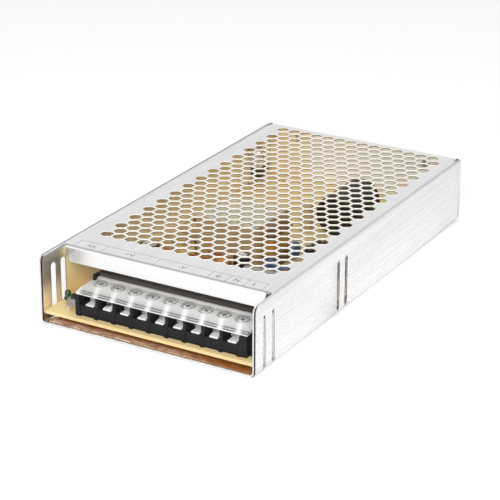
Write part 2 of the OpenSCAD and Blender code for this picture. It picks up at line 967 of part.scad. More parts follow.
// Cartridge fuse: tube, end caps and spring clips, lying along the board
fuse_d = 5.2;
fuse_l = 20;
cap_l = 5;
cap_t = 0.3;
fuse_z = 5;
clip_t = 0.5;

module fuse_body() {
    color("#e9e6dd")
        on_board(fuse_at)
            translate([0, 0, fuse_z])
                rotate([90, 0, 0])
                    cylinder(h = fuse_l - 2 * cap_t, d = fuse_d - 2 * cap_t - 2 * run_fit, center = true);
}

module fuse_caps() {
    color("#cfcfca")
        on_board(fuse_at)
            for (side = [0, 1])
                mirror([0, side, 0])
                    translate([0, -fuse_l / 2, fuse_z])
                        rotate([-90, 0, 0])
                            difference() {
                                cylinder(h = cap_l, d = fuse_d);
                                translate([0, 0, cap_t])
                                    cylinder(h = cap_l, d = fuse_d - 2 * cap_t);
                            }
}

module fuse_clips() {
    clip_in = fuse_d / 2 + run_fit;
    color("#c8c2ae")
        on_board(fuse_at)
            for (side = [-1, 1])
                translate([0, side * (fuse_l - cap_l) / 2, 0])
                    rotate([90, 0, 0])
                        linear_extrude(cap_l - 1, center = true)
                            difference() {
                                union() {
                                    translate([0, fuse_z])
                                        circle(clip_in + clip_t);
                                    translate([-fuse_d / 4, 0])
                                        square([fuse_d / 2, fuse_z]);
                                }
                                translate([0, fuse_z])
                                    circle(clip_in);
                                translate([-fuse_d / 4, fuse_z])
                                    square([fuse_d / 2, fuse_d]);
                            }
}

// Ring core and the wire wound on it, lying flat above the board
choke_id_share = 0.5;
choke_core_h = 9;
choke_base_h = 1.2;
wind_fit = 0.1;

module ring_section(d, grow) {
    ring_in = d * choke_id_share;
    translate([(d + ring_in) / 4, 0])
        rounded_rect((d - ring_in) / 2 + 2 * grow, choke_core_h + 2 * grow, 1 + grow);
}

module ring_winding(d, sweep) {
    rotate_extrude(angle = sweep)
        difference() {
            ring_section(d, wind_fit + wire_t);
            ring_section(d, wind_fit);
        }
}

module lift_choke(at, base) {
    on_board(at)
        translate([0, 0, base + wire_t + wind_fit + choke_core_h / 2])
            children();
}

module output_choke_core() {
    color("#c8b74a")
        lift_choke(choke_at, 0)
            rotate_extrude()
                ring_section(choke_d, 0);
}

module output_choke_winding() {
    color("#b4622d")
        lift_choke(choke_at, 0)
            rotate(15)
                ring_winding(choke_d, 330);
}

module line_choke_core() {
    color("#23252a")
        lift_choke(line_choke_at, choke_base_h)
            rotate_extrude()
                ring_section(line_choke_d, 0);
}

module line_choke_winding() {
    color("#9a5228")
        lift_choke(line_choke_at, choke_base_h)
            for (turn = [20, 200])
                rotate(turn)
                    ring_winding(line_choke_d, 140);
}

module line_choke_base() {
    color("#17181a")
        on_board(line_choke_at)
            linear_extrude(choke_base_h)
                rounded_rect(line_choke_d, line_choke_d, 3);
}

// Transformer: a ferrite core round a bobbin whose feet stand on the board
core_lift = 1;
core_z = deck_z + core_lift;
core_h = tall_z - core_z;
centre_leg = 9;
window_h = core_h - 2 * yoke_t;
window_l = (core_l - 2 * yoke_t - centre_leg) / 2;
flange_t = 1;
flange_corner = 2;
former_fit = 0.1;
flange_l = centre_leg + 2 * window_l - 4 * former_fit;

module at_transformer(level) {
    translate([transformer_at[0], front_y + transformer_at[1], level])
        children();
}

module transformer_core() {
    color("#77787a")
        at_transformer(core_z)
            along_x(core_w)
                difference() {
                    translate([-core_l / 2, 0])
                        square([core_l, core_h]);
                    for (side = [-1, 1])
                        translate([side * (centre_leg + window_l) / 2 - window_l / 2, yoke_t])
                            square([window_l, window_h]);
                }
}

module transformer_bobbin() {
    tube = 2 * (flange_t + former_fit);
    foot_in = core_w / 2 + 3 * former_fit;
    foot_out = bobbin_w / 2 - flange_t / 2;
    foot_h = yoke_t + former_fit + core_lift;
    color("#3a2c22")
        at_transformer(core_z + yoke_t + former_fit)
            difference() {
                union() {
                    for (level = [0, window_h - 2 * former_fit - flange_t])
                        translate([0, 0, level])
                            linear_extrude(flange_t)
                                rounded_rect(bobbin_w, flange_l, flange_corner);
                    linear_extrude(window_h - 2 * former_fit)
                        square([core_w + tube, centre_leg + tube], center = true);
                    for (side = [-1, 1])
                        translate([side * (foot_in + foot_out) / 2, 0, -foot_h / 2])
                            cube([foot_out - foot_in, flange_l - 2 * flange_corner, foot_h], center = true);
                }
                translate([0, 0, -1])
                    linear_extrude(window_h + 2)
                        square([core_w + 2 * former_fit, centre_leg + 2 * former_fit], center = true);
            }
}

module transformer_winding() {
    tube = 2 * flange_t + 4 * former_fit;
    color("#d9b93c")
        at_transformer(core_z + yoke_t + 2 * former_fit + flange_t)
            linear_extrude(window_h - 4 * former_fit - 2 * flange_t)
                difference() {
                    rounded_rect(bobbin_w - 2 * flange_t, flange_l - 2 * flange_t, flange_corner + flange_t);
                    square([core_w + tube, centre_leg + tube], center = true);
                }
}

// Heat bars at the back of both walls, on thermal pads: the wall, the length, the
// distance from the back wall to the middle, and the places of the devices on it
heat_bar_h = 20;
pad_t = 0.4;
pad_margin = 1;
device_w = 10;
device_t = 4.5;
device_h = 15.5;
device_body_h = 9.3;
device_tab_t = 2.6;
device_leg = 4;
device_leg_w = 0.8;
device_leg_t = 0.6;
device_leg_step = 2.54;
device_hole_z = 12.6;
device_spread = 11;
right_bar = [1, heat_bar_l, heat_bar_back, [-device_spread, device_spread], heat_bar_t];
left_bar = [-1, short_bar_l, short_bar_back, [0], short_bar_t];
bars = [right_bar, left_bar];

module at_wall(bar) {
    translate([bar[0] * (wall_in - pad_t), back_in - bar[2], deck_z])
        rotate(bar[0] * 90)
            children();
}

module heat_bars() {
    color("#b5b8bc")
        for (bar = bars)
            at_wall(bar)
                difference() {
                    translate([-bar[1] / 2, 0, 0])
                        cube([bar[1], bar[4], heat_bar_h]);
                    for (place = bar[3])
                        translate([place, -1, device_leg + device_hole_z])
                            rotate([-90, 0, 0])
                                cylinder(h = bar[4] + 2, d = screw_d + thread_fit);
                }
}

module thermal_pads() {
    color("#c9cdd2")
        for (bar = bars)
            at_wall(bar)
                translate([-bar[1] / 2, -pad_t, pad_margin])
                    cube([bar[1], pad_t, heat_bar_h - 2 * pad_margin]);
}

// Three-legged power device, its back against the heat bar
module power_device() {
    difference() {
        union() {
            translate([-device_w / 2, 0, device_leg])
                cube([device_w, device_tab_t, device_h]);
            translate([-device_w / 2, 0, device_leg])
                cube([device_w, device_t, device_body_h]);
        }
        translate([0, -1, device_leg + device_hole_z])
            rotate([-90, 0, 0])
                cylinder(h = device_tab_t + 2, d = screw_d + hole_fit);
    }
    for (leg = [-1, 0, 1])
        translate([leg * device_leg_step - device_leg_w / 2, device_tab_t - device_leg_t, 0])
            cube([device_leg_w, device_leg_t, device_leg]);
}

module devices_on(bar) {
    at_wall(bar)
        for (place = bar[3])
            translate([place, bar[4], 0])
                power_device();
}

module switching_transistors() {
    color("#1c1c1e")
        devices_on(right_bar);
}

// Pair of output diodes in one package
module output_rectifiers() {
    color("#1c1c1e")
        devices_on(left_bar);
}

module device_screws() {
    color("#c9c9c4")
        for (bar = bars)
            at_wall(bar)
                for (place = bar[3])
                    translate([place, bar[4] + device_tab_t, device_leg + device_hole_z])
                        rotate([-90, 0, 0])
                            pan_screw(head_d, head_h, screw_d, bar[4] + device_tab_t - pad_t);
}

// Flat bridge rectifier standing beside the right wall on four legs
bridge = [22, 3.6, 17];
bridge_leg = [1.2, 0.8, 3];
bridge_leg_step = 5;
bridge_bevel = 3;
bridge_hole_d = 3.2;
bridge_hole_drop = 4;

module bridge_rectifier() {
    color("#202124")
        translate([wall_in - bridge_inset, front_y + bridge_back, deck_z])
            rotate(90) {
                translate([0, bridge[1] / 2, bridge_leg[2]])
                    rotate([90, 0, 0])
                        linear_extrude(bridge[1])
                            difference() {
                                polygon([
                                    [-bridge[0] / 2, 0], [bridge[0] / 2, 0],
                                    [bridge[0] / 2, bridge[2] - bridge_bevel],
                                    [bridge[0] / 2 - bridge_bevel, bridge[2]],
                                    [-bridge[0] / 2, bridge[2]],
                                ]);
                                translate([0, bridge[2] - bridge_hole_drop])
                                    circle(d = bridge_hole_d);
                            }
                for (leg = [-1.5 : 1 : 1.5])
                    translate([leg * bridge_leg_step, 0, bridge_leg[2] / 2])
                        cube(bridge_leg, center = true);
            }
}

// Dual in-line package with legs on both long sides
chip_step = 2.54;
chip_w = 6.4;
chip_h = 3.3;
chip_leg_w = 0.6;

module chip_package(legs) {
    size = [legs * chip_step - chip_leg_w, chip_w, chip_h];
    row = (chip_w + chip_leg_w) / 2;
    translate([-size[0] / 2, -size[1] / 2, chip_leg_w])
        cube(size);
    for (side = [-1, 1], leg = [0 : legs - 1])
        translate([(leg - (legs - 1) / 2) * chip_step, side * row, 0])
            translate([-chip_leg_w / 2, -chip_leg_w / 2, 0])
                cube([chip_leg_w, chip_leg_w, chip_leg_w + chip_h / 2]);
}

module control_chip() {
    color("#1a1a1c")
        on_board(chip_at)
            chip_package(8);
}

module optocouplers() {
    color("#232325")
        for (at = opto_at)
            on_board(at)
                chip_package(2);
}

// Axial resistors with thicker round ends, lying on bent leads
resistor_d = 4;
resistor_l = 11;
resistor_span = 15;
resistor_lift = 1;
resistor_end = 3;
resistor_edge = 0.5;

module power_resistors() {
    r = resistor_d / 2;
    half = resistor_l / 2;
    waist = r - resistor_edge / 2;
    axis_z = resistor_lift + r;
    color("#c9a877")
        for (at = resistor_at)
            on_board(at) {
                translate([0, 0, axis_z])
                    rotate([0, 90, 0])
                        rotate_extrude()
                            for (end = [0, 1])
                                mirror([0, end])
                                    polygon([
                                        [0, 0], [waist, 0], [waist, half - resistor_end - resistor_edge],
                                        [r, half - resistor_end], [r, half - resistor_edge],
                                        [r - resistor_edge, half], [0, half],
                                    ]);
                translate([0, 0, axis_z])
                    rotate([0, 90, 0])
                        cylinder(h = resistor_span, d = lead_d, center = true);
                for (side = [-1, 1])
                    translate([side * resistor_span / 2, 0, 0])
                        cylinder(h = axis_z + lead_d / 2, d = lead_d);
            }
}

chassis();
cover();
cover_screws();
insulating_film();
board_standoffs();
board_screws();
circuit_board();
terminal_base();
terminal_plates();
for (i = [0 : cells - 1]) {
    terminal_washer(i);
    terminal_screw(i);
}
terminal_lid();
trimmer_body();
trimmer_rotor();
status_lamp();
fuse_body();
fuse_caps();
fuse_clips();
inrush_thermistor();
surge_varistor();
x_capacitor();
y_capacitors();
line_choke_core();
line_choke_winding();
line_choke_base();
bridge_rectifier();
bulk_capacitor();
transformer_core();
transformer_bobbin();
transformer_winding();
heat_bars();
thermal_pads();
switching_transistors();
output_rectifiers();
device_screws();
output_choke_core();
output_choke_winding();
output_capacitors();
small_capacitors();
control_chip();
optocouplers();
power_resistors();
film_capacitor();
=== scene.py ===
import math

import bmesh
import bpy
from mathutils import Matrix, Vector


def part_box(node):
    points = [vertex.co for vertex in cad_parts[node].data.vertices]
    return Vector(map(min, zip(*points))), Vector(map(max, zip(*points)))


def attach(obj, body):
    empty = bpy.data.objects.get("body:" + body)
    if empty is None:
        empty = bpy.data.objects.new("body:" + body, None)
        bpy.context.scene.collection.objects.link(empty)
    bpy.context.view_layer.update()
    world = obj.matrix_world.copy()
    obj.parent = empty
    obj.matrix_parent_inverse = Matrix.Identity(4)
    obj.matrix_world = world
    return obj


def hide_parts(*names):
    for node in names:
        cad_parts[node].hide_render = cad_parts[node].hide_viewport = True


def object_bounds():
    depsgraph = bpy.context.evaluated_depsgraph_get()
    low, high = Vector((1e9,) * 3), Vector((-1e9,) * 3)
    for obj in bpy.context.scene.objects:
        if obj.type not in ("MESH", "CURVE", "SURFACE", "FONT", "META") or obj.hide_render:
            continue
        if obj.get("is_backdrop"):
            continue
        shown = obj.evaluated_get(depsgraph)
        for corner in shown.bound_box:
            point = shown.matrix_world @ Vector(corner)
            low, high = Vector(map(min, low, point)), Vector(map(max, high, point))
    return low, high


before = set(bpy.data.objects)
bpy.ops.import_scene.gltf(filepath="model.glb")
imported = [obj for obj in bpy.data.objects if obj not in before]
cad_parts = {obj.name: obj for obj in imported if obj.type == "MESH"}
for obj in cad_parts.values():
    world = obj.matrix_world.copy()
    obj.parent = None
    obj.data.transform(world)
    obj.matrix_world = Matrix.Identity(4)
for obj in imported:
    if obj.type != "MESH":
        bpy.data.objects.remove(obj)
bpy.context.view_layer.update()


# Camera. A long lens looks down on the terminal end from the right.
# It is set by the direction and distance of the view, and by how far the case
# lies to the left of and below the middle of the picture.
MM = 0.001
VIEW_AZIMUTH = math.radians(30.006)
VIEW_ELEVATION = math.radians(22.940)
VIEW_ROLL = math.radians(0.168)
VIEW_DISTANCE = 979.13 * MM
AIM_RIGHT = -6.212 * MM
AIM_UP = 9.512 * MM
PICTURE_PX = 500
FOCAL_PX = 1972.17
SENSOR = 36.0

back = Vector((
    math.sin(VIEW_AZIMUTH) * math.cos(VIEW_ELEVATION),
    -math.cos(VIEW_AZIMUTH) * math.cos(VIEW_ELEVATION),
    math.sin(VIEW_ELEVATION),
))
level = Vector((math.cos(VIEW_AZIMUTH), math.sin(VIEW_AZIMUTH), 0))
upright = back.cross(level)
right = level * math.cos(VIEW_ROLL) + upright * math.sin(VIEW_ROLL)
up = back.cross(right)
camera = bpy.data.objects.new("camera", bpy.data.cameras.new("camera"))
camera.data.sensor_width = SENSOR
camera.data.lens = SENSOR * FOCAL_PX / PICTURE_PX
camera.data.clip_start = 0.02
camera.data.clip_end = 20
place = Matrix((right, up, back)).transposed().to_4x4()
place.translation = right * AIM_RIGHT + up * AIM_UP + back * VIEW_DISTANCE
camera.matrix_world = place
bpy.context.scene.collection.objects.link(camera)
bpy.context.scene.camera = camera


# Studio. A white floor, a pale surround that is a little darker behind the case,
# and two large soft lamps, one overhead and one beside the camera.
FLOOR_SIDE = 8.0
FLOOR_Z = -0.05 * MM
FLOOR_COLOUR = (0.86, 0.86, 0.86, 1)
FLOOR_GLOW = 0.22
SURROUND_FILL = 0.42
SURROUND_FRONT = 1.0
SURROUND_BACK = 0.80
SURROUND_TURN = (-0.2, 0.8)
LAMPS = {
    "camera_lamp": ((0.70, -1.34, 0.84), 0.9, 24.0),
    "top_lamp": ((-0.05, 0.05, 1.45), 0.9, 6.0),
}
scene = bpy.context.scene
scene.view_settings.view_transform = "Standard"


def reckoned(tree, kind, *values):
    """Socket of a Math node that takes sockets or plain numbers."""
    step = tree.nodes.new("ShaderNodeMath")
    step.operation = kind
    for slot, value in enumerate(values):
        if isinstance(value, (int, float)):
            step.inputs[slot].default_value = value
        else:
            tree.links.new(value, step.inputs[slot])
    return step.outputs[0]


def seen_directly(tree):
    """Socket that is 1 for rays from the camera, a mirror or clear plastic."""
    rays = tree.nodes.new("ShaderNodeLightPath").outputs
    mirrored = reckoned(tree, "MAXIMUM", rays["Is Camera Ray"], rays["Is Glossy Ray"])
    return reckoned(tree, "MAXIMUM", mirrored, rays["Is Transmission Ray"])


world = bpy.data.worlds.new("pale_surround")
scene.world = world
world.use_nodes = True
sky = world.node_tree
fill = sky.nodes["Background"]
fill.inputs["Color"].default_value = (1, 1, 1, 1)
fill.inputs["Strength"].default_value = SURROUND_FILL
pale = sky.nodes.new("ShaderNodeBackground")
pale.inputs["Color"].default_value = (1, 1, 1, 1)
towards = sky.nodes.new("ShaderNodeTexCoord")
parts = sky.nodes.new("ShaderNodeSeparateXYZ")
sky.links.new(towards.outputs["Generated"], parts.inputs["Vector"])
depth = sky.nodes.new("ShaderNodeMapRange")
depth.interpolation_type = "SMOOTHSTEP"
depth.inputs["From Min"].default_value, depth.inputs["From Max"].default_value = SURROUND_TURN
depth.inputs["To Min"].default_value = SURROUND_FRONT
depth.inputs["To Max"].default_value = SURROUND_BACK
sky.links.new(parts.outputs["Y"], depth.inputs["Value"])
sky.links.new(depth.outputs["Result"], pale.inputs["Strength"])
blend = sky.nodes.new("ShaderNodeMixShader")
sky.links.new(seen_directly(sky), blend.inputs["Fac"])
sky.links.new(fill.outputs[0], blend.inputs[1])
sky.links.new(pale.outputs[0], blend.inputs[2])
sky.links.new(blend.outputs[0], sky.nodes["World Output"].inputs["Surface"])

floor_mesh = bpy.data.meshes.new("floor")
half = FLOOR_SIDE / 2
floor_mesh.from_pydata([(-half, -half, FLOOR_Z), (half, -half, FLOOR_Z), (half, half, FLOOR_Z),
                        (-half, half, FLOOR_Z)], [], [(0, 1, 2, 3)])
floor = bpy.data.objects.new("floor", floor_mesh)
scene.collection.objects.link(floor)
paper = bpy.data.materials.new("white_floor")
paper.use_nodes = True
paper_tree = paper.node_tree
matt = paper_tree.nodes["Principled BSDF"]
matt.inputs["Base Color"].default_value = FLOOR_COLOUR
matt.inputs["Roughness"].default_value = 0.9
matt.inputs["Specular IOR Level"].default_value = 0.1
matt.inputs["Emission Color"].default_value = (1, 1, 1, 1)
glow = reckoned(paper_tree, "MULTIPLY", seen_directly(paper_tree), FLOOR_GLOW)
paper_tree.links.new(glow, matt.inputs["Emission Strength"])
floor_mesh.materials.append(paper)
floor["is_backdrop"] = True

for name, (spot, side, power) in LAMPS.items():
    lamp = bpy.data.lights.new(name, "AREA")
    lamp.shape = "SQUARE"
    lamp.size = side
    lamp.energy = power
    stand = bpy.data.objects.new(name, lamp)
    stand.location = spot
    stand.rotation_euler = (-Vector(spot)).to_track_quat("-Z", "Y").to_euler()
    scene.collection.objects.link(stand)


# Chassis. One aluminium sheet, brushed along its length, sheared and folded into
# a channel. Its inside is left as rolled, pale and nearly matt. Its colour carries a
# painted reflection of the tan board on the left wall, deeper in the terminal bay,
# painted light above it and towards the back, and painted shade under the lip of
# the cover, along the top of the walls and below the board. Its edges carry a
# painted dark line on the right of the front edges, painted grey shade on the left
# wall's top and the back bends, and a painted highlight on the slot walls.
EDGE_ROLL = 0.5 * MM
ROLL_STEPS = 2
ROLL_ANGLE = math.radians(50)
SMOOTH_ANGLE = math.radians(25)
# Places of the painted reflection, painted light and painted shade on the inside.
WARM_X = -54 * MM
PALE_X = -24 * MM
SHADED_Z = (12 * MM, 23 * MM)
SHADED_Y = (-86 * MM, -95 * MM)
DEEP_Y = (-97 * MM, -89 * MM)
FAR_Y = (-80 * MM, -55 * MM)
SEAM_SHADE_Z = (32.8 * MM, 33.4 * MM)
BAY_Z = (12 * MM, 26 * MM)
FOOT_SHADE_Z = (6.4 * MM, 5 * MM)
BACK_WALL_Y = 90 * MM
BACK_EDGE_Y = 106 * MM
SHEAR_Y = -104.2 * MM
WALL_TOP_Z = 34.4 * MM
ROLLED_TOP_Z = 33.5 * MM
SLOT_X = 55.9 * MM
SLOT_Y = (-106 * MM, 60 * MM)
SLOT_Z = (3 * MM, 31 * MM)
SLOT_WAY = 0.6
DARK_EDGE_WAY = (0.2, -0.15, -0.35)
SQUARE_ON = 0.9
OBLIQUE = 0.3
WELD = 0.001 * MM
FLAT_ANGLE = math.radians(0.3)
NOISE_DETAIL = 5.0
NOISE_ROUGHNESS = 0.62
NOISE_SPAN = (0.3, 0.7)
SMOOTHEST = 0.02
BRUSHED, INSIDE, DARK_EDGE_SHADE, GREY_SHADE, EDGE_HIGHLIGHT, SHEARED = range(6)


def grained(name, colour, shade, roughness, cells, metallic=0.0, bump=0.1, depth=0.02 * MM, spread=0.08,
            specular=0.5):
    """Finish whose colour, roughness and relief follow one noise, given in cells per metre."""
    material = bpy.data.materials.new(name)
    material.use_nodes = True
    tree = material.node_tree
    skin = tree.nodes["Principled BSDF"]
    skin.inputs["Metallic"].default_value = metallic
    skin.inputs["Specular IOR Level"].default_value = specular
    coords = tree.nodes.new("ShaderNodeTexCoord")
    stretch = tree.nodes.new("ShaderNodeMapping")
    stretch.inputs["Scale"].default_value = cells
    tree.links.new(coords.outputs["Object"], stretch.inputs["Vector"])
    noise = tree.nodes.new("ShaderNodeTexNoise")
    noise.inputs["Scale"].default_value = 1.0
    noise.inputs["Detail"].default_value = NOISE_DETAIL
    noise.inputs["Roughness"].default_value = NOISE_ROUGHNESS
    tree.links.new(stretch.outputs["Vector"], noise.inputs["Vector"])
    tint = tree.nodes.new("ShaderNodeMix")
    tint.data_type = "RGBA"
    tint.inputs["A"].default_value = (*shade, 1)
    tint.inputs["B"].default_value = (*colour, 1)
    contrast = tree.nodes.new("ShaderNodeMapRange")
    contrast.name = "contrast"
    contrast.inputs["From Min"].default_value, contrast.inputs["From Max"].default_value = NOISE_SPAN
    tree.links.new(noise.outputs["Fac"], contrast.inputs["Value"])
    tree.links.new(contrast.outputs["Result"], tint.inputs["Factor"])
    tree.links.new(tint.outputs["Result"], skin.inputs["Base Color"])
    gloss = tree.nodes.new("ShaderNodeMapRange")
    gloss.inputs["From Min"].default_value, gloss.inputs["From Max"].default_value = NOISE_SPAN
    gloss.inputs["To Min"].default_value = max(roughness - spread, SMOOTHEST)
    gloss.inputs["To Max"].default_value = roughness + spread
    tree.links.new(noise.outputs["Fac"], gloss.inputs["Value"])
    tree.links.new(gloss.outputs["Result"], skin.inputs["Roughness"])
    relief = tree.nodes.new("ShaderNodeBump")
    relief.inputs["Strength"].default_value = bump
    relief.inputs["Distance"].default_value = depth
    tree.links.new(noise.outputs["Fac"], relief.inputs["Height"])
    tree.links.new(relief.outputs["Normal"], skin.inputs["Normal"])
    return material


def plain_mesh(piece):
    """Turns a piece with modifiers into a plain mesh."""
    shape = bpy.data.meshes.new_from_object(piece.evaluated_get(bpy.context.evaluated_depsgraph_get()))
    piece.modifiers.clear()
    piece.data = shape


def eased_copy(source, name, width, finishes, finish_of=None):
    """Welded copy of a CAD piece with its sharp edges rolled, in the last of the finishes."""
    mesh = bpy.data.meshes.new(name)
    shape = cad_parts[source].data
    mesh.from_pydata([v.co for v in shape.vertices], [], [p.vertices for p in shape.polygons])
    weld = bmesh.new()
    weld.from_mesh(mesh)
    bmesh.ops.remove_doubles(weld, verts=weld.verts, dist=WELD)
    bmesh.ops.dissolve_limit(weld, angle_limit=FLAT_ANGLE, verts=weld.verts, edges=weld.edges)
    weld.to_mesh(mesh)
    weld.free()
    for finish in finishes:
        mesh.materials.append(finish)
    if finish_of:
        for face in mesh.polygons:
            face.material_index = finish_of(face)
    piece = bpy.data.objects.new(name, mesh)
    scene.collection.objects.link(piece)
    roll = piece.modifiers.new("roll", "BEVEL")
    roll.width = width
    roll.segments = ROLL_STEPS
    roll.limit_method = "ANGLE"
    roll.angle_limit = ROLL_ANGLE
    roll.use_clamp_overlap = False
    roll.material = len(finishes) - 1
    plain_mesh(piece)
    piece.data.shade_smooth()
    piece.data.set_sharp_from_angle(angle=SMOOTH_ANGLE)
    return piece


def chassis_finish(face):
    """Finish of a flat face of the chassis: as rolled where a wall looks into the case, or else brushed."""
    across = abs(face.normal.x) > SQUARE_ON and face.normal.x * face.center.x < 0
    behind = face.normal.y < -SQUARE_ON and face.center.y > BACK_WALL_Y
    return INSIDE if across or behind else BRUSHED


brushed = grained("brushed_aluminium", (0.84, 0.84, 0.84), (0.68, 0.68, 0.685), 0.27,
                  (1500, 16, 1500), metallic=1.0, bump=0.12, depth=0.01 * MM)
inside = grained("rolled_inside_painted_light", (1.0, 0.99, 0.96), (0.96, 0.94, 0.89), 0.45, (200, 8, 200), metallic=0.1,
                 bump=0.02, depth=0.01 * MM)


def along(finish, axis):
    """Socket of a finish with the place on an axis."""
    tree = finish.node_tree
    axes = tree.nodes.get("axes")
    if axes is None:
        axes = tree.nodes.new("ShaderNodeSeparateXYZ")
        axes.name = "axes"
        tree.links.new(tree.nodes["Texture Coordinate"].outputs["Object"], axes.inputs["Vector"])
    return axes.outputs[axis]


def eased(finish, value, start, end):
    """Socket of a finish that goes from 0 to 1 while a value goes from start to end."""
    step = finish.node_tree.nodes.new("ShaderNodeMapRange")
    step.interpolation_type = "SMOOTHSTEP"
    step.inputs["From Min"].default_value = min(start, end)
    step.inputs["From Max"].default_value = max(start, end)
    step.inputs["To Min"].default_value = float(start > end)
    step.inputs["To Max"].default_value = float(start < end)
    finish.node_tree.links.new(value, step.inputs["Value"])
    return step.outputs["Result"]


def ramp(finish, axis, start, end):
    """Socket of a finish that goes from 0 to 1 between two places on an axis."""
    return eased(finish, along(finish, axis), start, end)


def both(finish, first, second):
    """Socket of a finish that is the product of two others."""
    return reckoned(finish.node_tree, "MULTIPLY", first, second)


def shaded(finish, factor, colour):
    """Turns a finish to another colour where the factor is 1."""
    tree = finish.node_tree
    skin = tree.nodes["Principled BSDF"].inputs["Base Color"]
    blend = tree.nodes.new("ShaderNodeMix")
    blend.data_type = "RGBA"
    blend.inputs["B"].default_value = (*colour, 1)
    tree.links.new(skin.links[0].from_socket, blend.inputs["A"])
    tree.links.new(factor, blend.inputs["Factor"])
    tree.links.new(blend.outputs["Result"], skin)


# Painted reflection of the tan board on the left wall, deeper in the terminal bay, with painted light above it and
# towards the back.
left_wall_reflection = ramp(inside, "X", PALE_X, WARM_X)
bay_reflection = both(inside, left_wall_reflection, ramp(inside, "Y", *DEEP_Y))
shaded(inside, left_wall_reflection, (0.78, 0.60, 0.34))
shaded(inside, bay_reflection, (0.93, 0.665, 0.30))
shaded(inside, both(inside, bay_reflection, ramp(inside, "Z", *BAY_Z)), (1.0, 0.87, 0.47))
shaded(inside, both(inside, left_wall_reflection, ramp(inside, "Y", *FAR_Y)), (1.0, 0.86, 0.58))
# Painted shade under the lip of the cover, along the top of the walls under the cover, and below the board.
shaded(inside, both(inside, ramp(inside, "Z", *SHADED_Z), ramp(inside, "Y", *SHADED_Y)), (0.24, 0.20, 0.16))
shaded(inside, ramp(inside, "Z", *SEAM_SHADE_Z), (0.30, 0.30, 0.31))
shaded(inside, ramp(inside, "Z", *FOOT_SHADE_Z), (0.17, 0.085, 0.035))
# Painted shade: a near-black line on the right of the sheared front edges.
dark_edge_shade = grained("painted_dark_edge_shade", (0.016, 0.0165, 0.018), (0.010, 0.0105, 0.011), 0.6, (300, 300, 300), specular=0.1)
# Painted shade: grey on the top of the left wall and on the back bends.
grey_edge_shade = grained("painted_grey_edge_shade", (0.36, 0.36, 0.365), (0.30, 0.30, 0.305), 0.5, (300, 300, 300), metallic=0.4)
# Painted highlight: near white on the slot walls and the rolled top of the left wall.
edge_highlight = grained("painted_edge_highlight", (0.96, 0.96, 0.955), (0.90, 0.90, 0.895), 0.35, (300, 300, 300), metallic=0.1)
sheared = grained("sheared_edge", (0.78, 0.78, 0.79), (0.66, 0.66, 0.67), 0.4,
                  (300, 300, 300), metallic=1.0)
chassis = eased_copy("chassis", "brushed_chassis", EDGE_ROLL, [brushed, inside, dark_edge_shade, grey_edge_shade, edge_highlight, sheared],
                     finish_of=chassis_finish)
for face in chassis.data.polygons:
    spot, way = face.center, face.normal
    rolled = face.material_index == SHEARED
    dark_edge_facing = way.x > DARK_EDGE_WAY[0] and way.y < DARK_EDGE_WAY[1] and way.z > DARK_EDGE_WAY[2]
    at_slot = abs(spot.x) > SLOT_X and SLOT_Y[0] < spot.y < SLOT_Y[1] and SLOT_Z[0] < spot.z < SLOT_Z[1]
    if rolled and spot.y < SHEAR_Y and dark_edge_facing:
        face.material_index = DARK_EDGE_SHADE
    elif spot.x < 0 and spot.z > WALL_TOP_Z and way.z > SQUARE_ON:
        face.material_index = GREY_SHADE
    elif rolled and spot.y > BACK_EDGE_Y and way.x > OBLIQUE and way.y > OBLIQUE:
        face.material_index = GREY_SHADE
    elif at_slot and abs(way.x) < SLOT_WAY:
        face.material_index = EDGE_HIGHLIGHT
    elif rolled and spot.x < 0 and spot.z > ROLLED_TOP_Z and way.x > OBLIQUE and way.z > OBLIQUE:
        face.material_index = EDGE_HIGHLIGHT
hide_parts("chassis")
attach(chassis, "case")


# Small machine screws and the swaged standoffs under the board, of zinc-plated
# steel with a faint yellow tone.
def dress(name, finish):
    """Gives a CAD piece one finish."""
    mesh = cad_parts[name].data
    mesh.materials.clear()
    mesh.materials.append(finish)


zinc = grained("zinc_plate", (0.86, 0.85, 0.80), (0.68, 0.67, 0.62), 0.3, (800, 800, 800), metallic=1.0)
for name in ("cover_screws", "board_screws", "board_standoffs", "device_screws"):
    dress(name, zinc)


# Insulating film. A thin glossy amber sheet, cut to size, that lies on the floor
# of the chassis and keeps the solder side of the board off the metal. Its front
# edge carries pale streaks of painted reflection, most of all on the left.
PAINTED_SHEEN_Y = (-101 * MM, -104.5 * MM)
PAINTED_SHEEN_X = (45 * MM, 0 * MM)
amber = grained("amber_film", (0.47, 0.195, 0.055), (0.27, 0.10, 0.026), 0.25, (170, 600, 60), bump=0.6,
                depth=0.25 * MM, spread=0.12, specular=0.35)
# Painted reflection: pale streaks along the front edge, most on the left.
painted_sheen = both(amber, ramp(amber, "Y", *PAINTED_SHEEN_Y), ramp(amber, "X", *PAINTED_SHEEN_X))
shaded(amber, both(amber, painted_sheen, amber.node_tree.nodes["contrast"].outputs["Result"]), (0.80, 0.62, 0.52))
dress("insulating_film", amber)


# Circuit board. Tan paper laminate with a faint lengthwise fibre, sawn to size
# and screwed to the standoffs. It is coloured darker where it sticks out before the block.
DARKER_FRONT_Y = (-101 * MM, -104 * MM)
DARKER_FRONT_X = (-46 * MM, -38 * MM)
laminate = grained("tan_laminate", (0.86, 0.69, 0.37), (0.79, 0.61, 0.30), 0.5, (300, 900, 300), bump=0.1,
                   specular=0.2)
shaded(laminate, both(laminate, ramp(laminate, "Y", *DARKER_FRONT_Y), ramp(laminate, "X", *DARKER_FRONT_X)), (0.74, 0.575, 0.29))
dress("circuit_board", laminate)


# Slot backing. A pale strip with round corners inside the right wall, behind its
# front slots and below the skirt of the cover. It is a painted highlight that makes
# the slots read light.
LINER_LOW = Vector((55.3, -101, 2)) * MM
LINER_HIGH = Vector((55.6, -81, 24.2)) * MM
LINER_CORNER = 2 * MM
LINER_STEPS = 5
